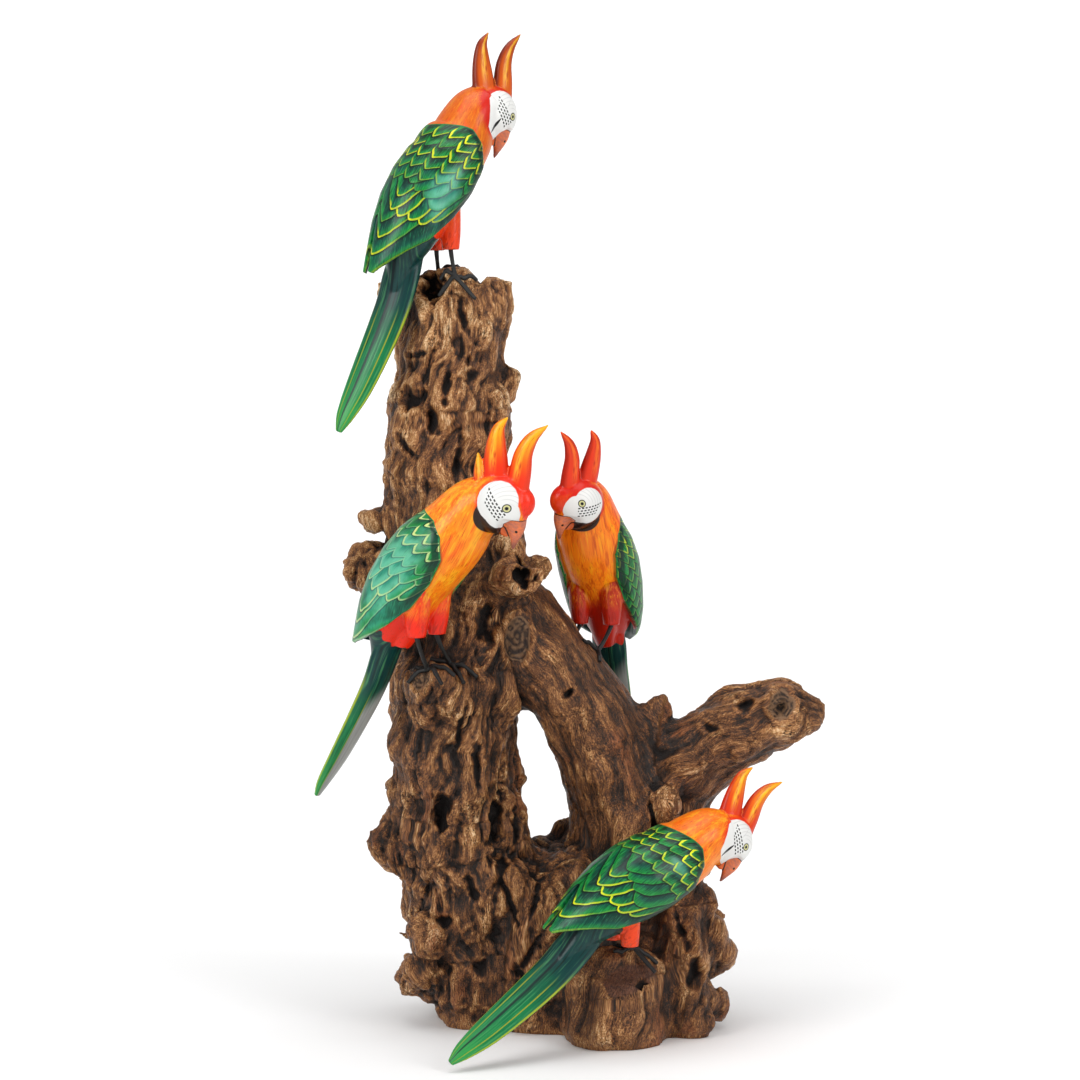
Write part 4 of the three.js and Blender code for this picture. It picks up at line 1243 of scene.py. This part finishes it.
def painted_wing(coat, plumage):
    """Where the wing lies, how far inside the edge of a feather, and its colour.

    Each painted feather has a bright edge that runs up from its tip, steeply towards the back and gently
    towards the breast, and a dark line below it. They are laid from the wing's tip upwards.
    """
    y = coat.attribute("bird")[1]
    arc, height, inside = coat.attribute("wing")
    from_front, = coat.attribute("wing_front", 1)
    flank = y.rise(-1.0, 1.0)
    own_arc = arc + (coat.noise(arc / 24.0, height / 24.0, flank * 9.0, 1.0) - 0.5) * 3.6
    own_height = height + (coat.noise(arc / 17.0, height / 17.0, flank * 9.0 + 5.0, 1.0) - 0.5) * 3.6
    laid = [inside.most(0.0) + (height - 8.0).most(0.0) * 0.6, 0.4, 0.0, 0.0]
    for index, (tip_arc, tip_height, slope, bend, strength) in enumerate(plumage["quills"]):
        laid = lay_feather(
            coat, plumage, laid, along=own_arc - tip_arc, up=own_height - tip_height, slope=slope, bend=bend,
            strength=strength, index=index * 1.7,
        )
    for index, (bar, strength) in reversed(list(enumerate(plumage["bars"]))):
        place = (own_arc - plumage["first"] - plumage["slip"] * index) / plumage["period"] + 0.27
        patchy = coat.noise(place.floor() * 2.7, index * 3.3 + 0.5, flank * 40.0, 0.0)
        laid = lay_feather(
            coat, plumage, laid, along=(place.part() - 0.27) * plumage["period"],
            up=own_height - bar - (own_arc - 50.0) * plumage["rake"] * (index / 3.0), slope=plumage["slope"],
            bend=0.0, strength=patchy.rise(0.22, 0.50) * strength, index=place.floor() * 0.61 + index * 2.3,
        )
    over, bright, shade, number = laid

    # The pale patch: partly pale teal paint and partly a painted highlight.
    (glow_arc, glow_height), (glow_wide, glow_high), glow = plumage["glow"]
    from_glow = ((arc - glow_arc) / glow_wide).span((height - glow_height) / glow_high)
    cloudy = coat.noise(arc / 16.0, height / 16.0, y / 90.0, 2.0)
    pale = (from_glow + (cloudy - 0.5) * 0.9).rise(1.15, 0.45) * glow
    barbs = coat.noise(arc / 0.8, height / 9.0, y / 60.0, 2.0)
    chance = coat.noise(number * 3.1 + 0.5, 4.5, flank * 40.0, 0.0)
    tone = coat.mix(height.rise(88.0, 60.0), *plumage["ground"])
    tone = coat.mix((cloudy + (chance - 0.5) * 0.8).rise(0.35, 0.75) * 0.6, tone, DARK_FEATHER)
    tone = coat.mix(pale, tone, coat.mix(over.rise(2.0, 12.0), GLOW, GLOW_AT_EDGE))
    tone = coat.mix(over.rise(5.0, 14.0) * (1 - pale) * 0.6, tone, DEEP_GREEN)
    tone = coat.mix(over.rise(9.0, 1.5) * (1 - pale) * barbs.rise(0.25, 0.6), tone, FEATHER_EDGE)
    tone = coat.mix(barbs.rise(0.54, 0.72) * 0.35, tone, WING_BARB)
    tone = coat.mix(barbs.rise(0.48, 0.26) * (1 - pale * 0.7) * 0.7, tone, DEEP_GREEN)
    tone = coat.mix(shade * shade.rise(0.0, 0.7) * 0.97, tone, coat.mix(pale, DEEP_GREEN, GLOW_SHADE))
    rim = (over - bright * 1.1).rise(1.3, 0.3) * over.rise(-0.1, 0.3)
    rim_tone = coat.mix(bright, plumage["fade"], plumage["edge"])
    tone = coat.mix(rim * (bright * 0.75 + 0.25) * (barbs * 1.3 + 0.3).least(1.0), tone, rim_tone)
    front_band = from_front.rise(11.5, 8.5) * from_front.rise(1.6, 2.6) * height.rise(28.0, 44.0)
    tone = coat.mix(front_band * 0.8, tone, WING_FRONT)
    tone = coat.mix(inside.rise(1.6, 0.9) * height.rise(8.0, 20.0) * 0.85, tone, WING_RIM)
    return inside.rise(-0.3, 0.3), over, tone


def face_places(coat, palette):
    """How far forward and up a place is among the markings of the face, and how far from their middle."""
    fx, _, fz = coat.attribute("face")
    turn = math.radians(palette["face_turn"])
    ahead, up = fx - 3.0, fz - 3.0
    mark_x = ahead * math.cos(turn) + up * math.sin(turn) + 3.0
    mark_z = up * math.cos(turn) - ahead * math.sin(turn) + 3.0
    return mark_x, mark_z, (mark_x + 0.5).span(mark_z - 7.0)


STREAK_SHADE = (0.36, 0.025, 0.002)
# Painted shade in the grooves of the thighs.
THIGH_GROOVE_SHADE = (0.25, 0.008, 0.002)


def painted_body(coat, palette, streak, cloud):
    """The grooves of the thighs, and the colour of the body, reddened at the face and streaked downwards."""
    x, y, z = coat.attribute("bird")
    fx, fy, fz = coat.attribute("face")
    thigh, thigh_share = coat.attribute("thigh", 2)
    stroke = coat.noise(x / 5.0, y / 5.0, z / 45.0, 1.0)
    low = (z - x * 0.3 + (cloud - 0.5) * 16.0 + (streak - 0.5) * 14.0).rise(44.0, 14.0)
    colour = coat.mix(x.rise(-4.0, 24.0), palette["nape"], palette["breast"])
    colour = coat.mix(low.most(thigh.rise(1.5, 0.0) * 0.9), colour, palette["belly"])
    from_middle = face_places(coat, palette)[2] + (streak - 0.5) * 7.0
    about_face = from_middle.rise(palette["red_reach"], palette["red_reach"] - 7.0) * fy.rise(6.0, 14.0)
    crown = (fz + (streak - 0.5) * 6.0).rise(15.0, 24.0) * fx.rise(-26.0, -12.0)
    bx, by, bz = ((place - middle) / half for place, middle, half in zip((fx, fy, fz), *BROW))
    red = about_face.most(crown).most(bx.span(by, bz).rise(1.25, 1.05))
    colour = coat.mix(red, colour, palette["brow"])
    colour = coat.mix(stroke.rise(0.52, 0.70) * (1 - low) * (1 - red) * 0.55, colour, palette["light"])
    colour = coat.mix(stroke.rise(0.46, 0.30) * (1 - red) * 0.5, colour, palette["belly"])
    colour = coat.mix(streak.rise(0.52, 0.72) * (1 - low) * (1 - red) * 0.7, colour, palette["light"])
    colour = coat.mix(streak.rise(0.47, 0.28) * 0.55, colour, STREAK_SHADE)
    # Grooves on the thighs, with painted shade in them, deeper towards the lower end.
    flutes = (coat.noise(x / 3.2, y / 3.2, z / 60.0, 1.0) - 0.5).rise(-0.02, -0.12) * thigh.rise(1.5, 0.0)
    return flutes, coat.mix(flutes * thigh_share.rise(0.2, 1.0) * 0.45, colour, THIGH_GROOVE_SHADE)


TAIL_ROOT = (0.002, 0.038, 0.036)
TAIL_GREEN = (0.004, 0.165, 0.050)
TAIL_TIP = (0.035, 0.32, 0.060)
TAIL_BARB = (0.10, 0.36, 0.13)
TAIL_MIDDLE = (0.001, 0.010, 0.012)
TAIL_LINE = (0.34, 0.34, 0.015)
TAIL_EDGE = (0.42, 0.50, 0.02)
TAIL_GREYS = ((0.16, 0.17, 0.16), (0.46, 0.47, 0.45))


def painted_tail(coat, palette, cloud):
    """Where the tail lies, and its long feathers: pale edges, dark middles, fine barbs, grey beneath."""
    x, _, z = coat.attribute("bird")
    across, through = coat.attribute("tail", 2)
    thigh, = coat.attribute("thigh", 1)
    middle_out = abs(across)
    down = z + cloud * 40.0
    hair = coat.noise(across * 9.0, z / 46.0, through * 0.5, 3.0)
    tone = coat.mix(down.rise(-30.0, -110.0), TAIL_ROOT, TAIL_GREEN)
    tone = coat.mix(down.rise(-110.0, -175.0) * 0.7, tone, TAIL_TIP)
    tone = coat.mix(hair.rise(0.52, 0.75) * 0.5, tone, TAIL_BARB)
    tone = coat.mix(hair.rise(0.48, 0.28) * 0.75, tone, DEEP_GREEN)
    middle = (abs(across - 0.12) + (hair - 0.5) * 0.1).rise(0.12, 0.03)
    tone = coat.mix(middle * 0.92, tone, TAIL_MIDDLE)
    inner_line = abs(middle_out - 0.56).rise(0.045, 0.02) * z.rise(-62.0, -95.0)
    tone = coat.mix(inner_line * 0.75, tone, TAIL_LINE)
    edge_line = middle_out.rise(0.90, 0.96) * z.rise(-48.0, -80.0) * through.rise(0.15, -0.2)
    tone = coat.mix(edge_line * 0.9, tone, TAIL_EDGE)
    beneath = through.rise(0.15, 0.45) * (z - across * 20.0).rise(-62.0, -92.0) * across.rise(-0.6, -0.45)
    tone = coat.mix(beneath, tone, coat.mix(hair, *TAIL_GREYS))
    jag = (across * 9.0).wave() * 2.5
    edge = z + jag + x.rise(-8.0, 4.0) * 2.0 - x.rise(6.0, -10.0) * 14.0
    return edge.rise(palette["rump"], palette["rump"] - 1.5) * thigh.rise(-0.5, 1.0), tone


HORN_GRAIN = (0.22, 0.010, 0.002)


def painted_horns(coat, palette):
    """Where the horns lie, and their colour from foot to tip, with a stripe down the middle."""
    fy = coat.attribute("face")[1]
    horn, share, side = coat.attribute("horn")
    grain = coat.noise(side * 3.5, fy / 2.2, share * 2.5, 3.0)
    stripe = abs(side - 0.1).rise(0.42, 0.1) * share.rise(0.08, 0.35)
    tone = coat.mix(share.rise(0.15, 0.9), palette["horn_foot"], palette["horn_tip"])
    tone = coat.mix(abs(side).rise(0.55, 0.95) * 0.9, tone, palette["horn_edge"])
    tone = coat.mix(stripe * grain.rise(0.3, 0.6) * 0.85, tone, palette["stripe"])
    return horn.rise(-0.8, 0.6), coat.mix(grain.rise(0.48, 0.28) * 0.5, tone, HORN_GRAIN)


CHALK = (0.74, 0.74, 0.72)
WRINKLE = (0.42, 0.42, 0.41)
# The eye's middle, forward and up, and its rings from the outermost: radius, softness and colour.
EYE = (10.8, 7.3)
EYE_RINGS = [
    (4.4, 0.4, (0.015, 0.015, 0.013)), (3.4, 0.4, (0.62, 0.60, 0.28)), (2.1, 0.3, (0.26, 0.25, 0.14)),
    (1.6, 0.3, INK),
]


def chalky_face(coat, mark_x, mark_z):
    """White with faint wrinkles, rows of black dashes and a ringed eye."""
    wrinkles = ((mark_x - 12.0).span(mark_z - 4.0) * 1.7).wave()
    tone = coat.mix(wrinkles.rise(0.5, 1.0) * mark_z.rise(10.0, 15.0) * 0.4, CHALK, WRINKLE)
    along = mark_x * 0.88 - mark_z * 0.47
    row = (mark_x * 0.47 + mark_z * 0.88 + 4.0) / 3.0
    place = (along / 4.0 + row.floor() * 0.37).part()
    dash = abs(place - 0.5).rise(0.35, 0.27) * abs(row.part() - 0.5).rise(0.30, 0.20)
    dash = dash * row.rise(-0.02, 0.02) * row.rise(4.02, 3.98)
    dash = dash * (along + row * 3.0).rise(-9.5, -8.5) * along.rise(11.5, 10.5)
    tone = coat.mix(dash, tone, INK)
    from_eye = (mark_x - EYE[0]).span(mark_z - EYE[1])
    for radius, softness, ring in EYE_RINGS:
        tone = coat.mix(from_eye.rise(radius, radius - softness), tone, ring)
    return tone


def painted_face(coat, palette, colour):
    """The colour so far with the face laid over it: its white patch, and the black band below or behind."""
    fx, fy, fz = coat.attribute("face")
    mark_x, mark_z, from_middle = face_places(coat, palette)
    wobble = (coat.noise(fx / 5.0, fz / 5.0, 0.0, 0.0) - 0.5) * 0.8
    face = chalky_face(coat, mark_x, mark_z)
    if palette["ruff"]:
        forward = fx - 2.0
        from_round = (forward / (1 + forward.rise(0.0, 20.0) * 0.16)).span(fz - 2.0) - 25.5
        from_ruff = from_round.most(fx * -0.894 - fz * 0.447 - 18.3)
        patch = (from_ruff + wobble).rise(0.35, -0.35) * fy.rise(2.5, 4.5)
        arch = (fz + 13.0) / 10.5
        crescent = abs(fx + 2.0 - (fz + 12.0) * 0.06) - (1 - arch * arch).most(0.0) * 1.7
        face = coat.mix(crescent.rise(0.3, -0.3) * fy.rise(5.0, 8.0), face, INK)
    else:
        from_cheek = (from_middle - 19.5).least((mark_x - 8.0).span(mark_z) - 16.2)
        patch = (from_cheek + wobble).rise(0.35, -0.35) * fy.rise(7.0, 9.0)
        band_x, band_z, radius, reach = palette["band"]
        band = (fx - band_x).span(fz - band_z).rise(radius, radius - 0.7) * fx.rise(reach + 0.8, reach - 0.7)
        colour = coat.mix(band * 0.98, colour, INK)
    return coat.mix(patch, colour, face)


UPPER_BEAK_TONES = ((0.46, 0.14, 0.085), (0.76, 0.19, 0.060))
LOWER_BEAK_TONES = ((0.56, 0.07, 0.015), (0.72, 0.16, 0.035))
BEAK_TIP = (0.16, 0.05, 0.04)
BEAK_RIDGE = (0.14, 0.05, 0.04)


def painted_beak(coat):
    """Where the beak lies: pinkish brown above, orange below, dark along its edges and at the nostril."""
    fx, fy, fz = coat.attribute("face")
    beak, jaw, share = coat.attribute("beak")
    horny = coat.noise(fx / 6.0, fy / 6.0, fz / 3.0, 3.0)
    upper = coat.mix(horny.rise(0.3, 0.7), *UPPER_BEAK_TONES)
    upper = coat.mix(share.rise(0.6, 1.0) * 0.7, upper, BEAK_TIP)
    upper = coat.mix(fy.rise(3.4, 1.0) * 0.35, upper, BEAK_RIDGE)
    tone = coat.mix(jaw.rise(-0.5, 0.5), coat.mix(horny, *LOWER_BEAK_TONES), upper)
    tone = coat.mix(abs(jaw).rise(1.6, 0.8) * 0.95, tone, INK)
    nostril = (fx - 26.0).span(fz + 13.0).rise(1.6, 1.1) * fy.rise(3.0, 4.0)
    tone = coat.mix(nostril, tone, INK)
    return beak.rise(-0.3, 0.3), coat.mix(beak.rise(1.5, 0.8), tone, INK)


WING_SHADOW = (0.05, 0.012, 0.004)


def paint(name, palette, plumage):
    """Varnished paint of one parrot, by its own coordinates."""
    coat = Finish(name, Roughness=0.3, Specular_IOR_Level=0.22, Coat_Weight=0.14, Coat_Roughness=0.1)
    x, y, z = coat.attribute("bird")
    streak = coat.noise(x / 1.2, y / 1.2, z / 30.0, 3.0)
    cloud = coat.noise(x / 24.0, y / 24.0, z / 30.0)
    flutes, colour = painted_body(coat, palette, streak, cloud)
    in_tail, tail_colour = painted_tail(coat, palette, cloud)
    colour = coat.mix(in_tail, colour, tail_colour)
    in_wing, over, wing_colour = painted_wing(coat, plumage)
    below_wing = coat.attribute("wing")[2].rise(-2.6, -0.6) * (1 - in_wing) * z.rise(112.0, 100.0)
    colour = coat.mix(below_wing * 0.5, colour, WING_SHADOW)
    colour = coat.mix(in_wing, colour, wing_colour)
    in_horn, horn_colour = painted_horns(coat, palette)
    colour = coat.mix(in_horn, colour, horn_colour)
    colour = painted_face(coat, palette, colour)
    in_beak, beak_colour = painted_beak(coat)
    coat.feed("Base Color", coat.mix(in_beak, colour, beak_colour))
    coat.feed("Roughness", 0.26 + streak * 0.16)
    relief = in_wing * over.least(2.0).most(0.0) * 0.5 + streak * 0.15 - flutes * 0.8
    coat.feed("Normal", coat.bump(relief, 0.0005, 0.8))
    return coat


for perch_name, perch in PERCHES.items():
    mesh = carve_parrot(f"{perch_name}_bird", perch)
    mark_wings(mesh, perch)
    mark_head(mesh, perch)
    mesh.transform(Matrix.Scale(MM, 4) @ bird_matrix(perch))
    mesh.update()
    coat = paint(f"{perch_name}_paint", PALETTES[perch_name], PLUMAGES[perch_name])
    bird = shown(f"{perch_name}_bird", mesh, coat)
    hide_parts(f"{perch_name}_parrot")
    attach(bird, "root")


# The legs.
# Each leg is bent iron wire, painted black: a straight shank pegged into the thigh, and two wires twisted
# under it whose ends are bent down over the wood as four toes.
WIRE_RADIUS = 2.3
WIRE_LUMPS = 0.10
PEG_DEPTH = 9
# Toes of each wire: degrees from the heading and length. A toe is bent down or up so much at each step at
# most.
TOE_WIRES = [((24, 27), (196, 20)), ((-26, 26), (158, 19))]
TOE_STEPS = 5
TOE_FALL = 4.5
TOE_RISE = 5
TOE_TIP = 0.8
LEG_VOXEL = 0.55

iron = Finish("black_iron_wire", Roughness=0.42, Specular_IOR_Level=0.3)
place = iron.node("ShaderNodeTexCoord", {}, output=3)
spots = iron.node("ShaderNodeTexNoise", {}, {"Vector": place, "Scale": 420.0, "Detail": 3.0})
iron.feed("Base Color", iron.mix(spots, (0.005, 0.005, 0.005), (0.022, 0.021, 0.020)))
iron.feed("Roughness", 0.30 + spots * 0.35)
iron.feed("Normal", iron.bump(spots, 0.0006, 0.7))


def drop(x, y, top):
    """Height of the root in millimetres under x, y, looking down from top."""
    hit = ground.ray_cast(Vector((x, y, top)) * MM, Vector((0, 0, -1)))[0]
    return None if hit is None else hit.z / MM


def wire(shape, line, seed, deep_axis, tip=1.0):
    """Adds a lumpy wire through the points of a line, with ends of a share of its thickness."""
    stations = []
    for k, point in enumerate(line):
        lump = 1 + WIRE_LUMPS * math.sin(2.4 * k + seed)
        end = tip if k in (0, len(line) - 1) else 1.0
        stations.append((*point, WIRE_RADIUS * lump * end, WIRE_RADIUS * lump * end))
    carved_rod(shape, stations, 14, 8 * len(line), deep_axis=deep_axis)


def toe(perch, ankle, turn, length):
    """The points of a toe from the ankle along the wood, which it follows as far as the wire can bend."""
    way = math.radians(perch["heading"] + perch["toe_turn"] + turn)
    line = [ankle]
    for step in range(1, TOE_STEPS + 1):
        far = length * perch["toes"] * step / TOE_STEPS
        tip = (ankle.x + math.cos(way) * far, ankle.y + math.sin(way) * far)
        floor = drop(*tip, ankle.z + 14)
        last = line[-1].z
        height = last - TOE_FALL if floor is None else floor + WIRE_RADIUS * 0.8
        line.append(Vector((*tip, min(max(height, last - TOE_FALL), last + TOE_RISE))))
    return line


def bend_leg(name, perch, side, foot):
    """The mesh of one leg, from its peg in the thigh to its toes."""
    matrix = bird_matrix(perch)
    start, end = thigh_line(perch, side)
    knee = matrix @ end
    up = (matrix @ start - knee).normalized()
    ankle = Vector((*foot, drop(*foot, knee.z + 30) + WIRE_RADIUS * 0.9))
    bend = knee.lerp(ankle, 0.5) - up * 2
    shape = bmesh.new()
    wire(shape, [knee + up * PEG_DEPTH, knee, bend, ankle], 0, (0.3, 0.9, 0.2))
    for number, ends in enumerate(TOE_WIRES):
        front, back = (toe(perch, ankle, turn, length) for turn, length in ends)
        wire(shape, front[::-1] + back[1:], 1 + number, (0, 0, 1), TOE_TIP)
    bmesh.ops.recalc_face_normals(shape, faces=shape.faces)
    mesh = worked(shape, [
        ("REMESH", {"mode": "VOXEL", "voxel_size": LEG_VOXEL}),
        ("SMOOTH", {"factor": 0.5, "iterations": 3}),
    ])
    mesh.transform(Matrix.Scale(MM, 4))
    mesh.name = name
    return mesh


for perch_name, perch in PERCHES.items():
    for side_name, side in (("left", 1), ("right", -1)):
        leg_name = f"{perch_name}_parrot_{side_name}_leg"
        mesh = bend_leg(leg_name, perch, side, perch["feet"][side_name])
        leg = shown(f"{perch_name}_{side_name}_wire_leg", mesh, iron)
        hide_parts(leg_name)
        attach(leg, "root")
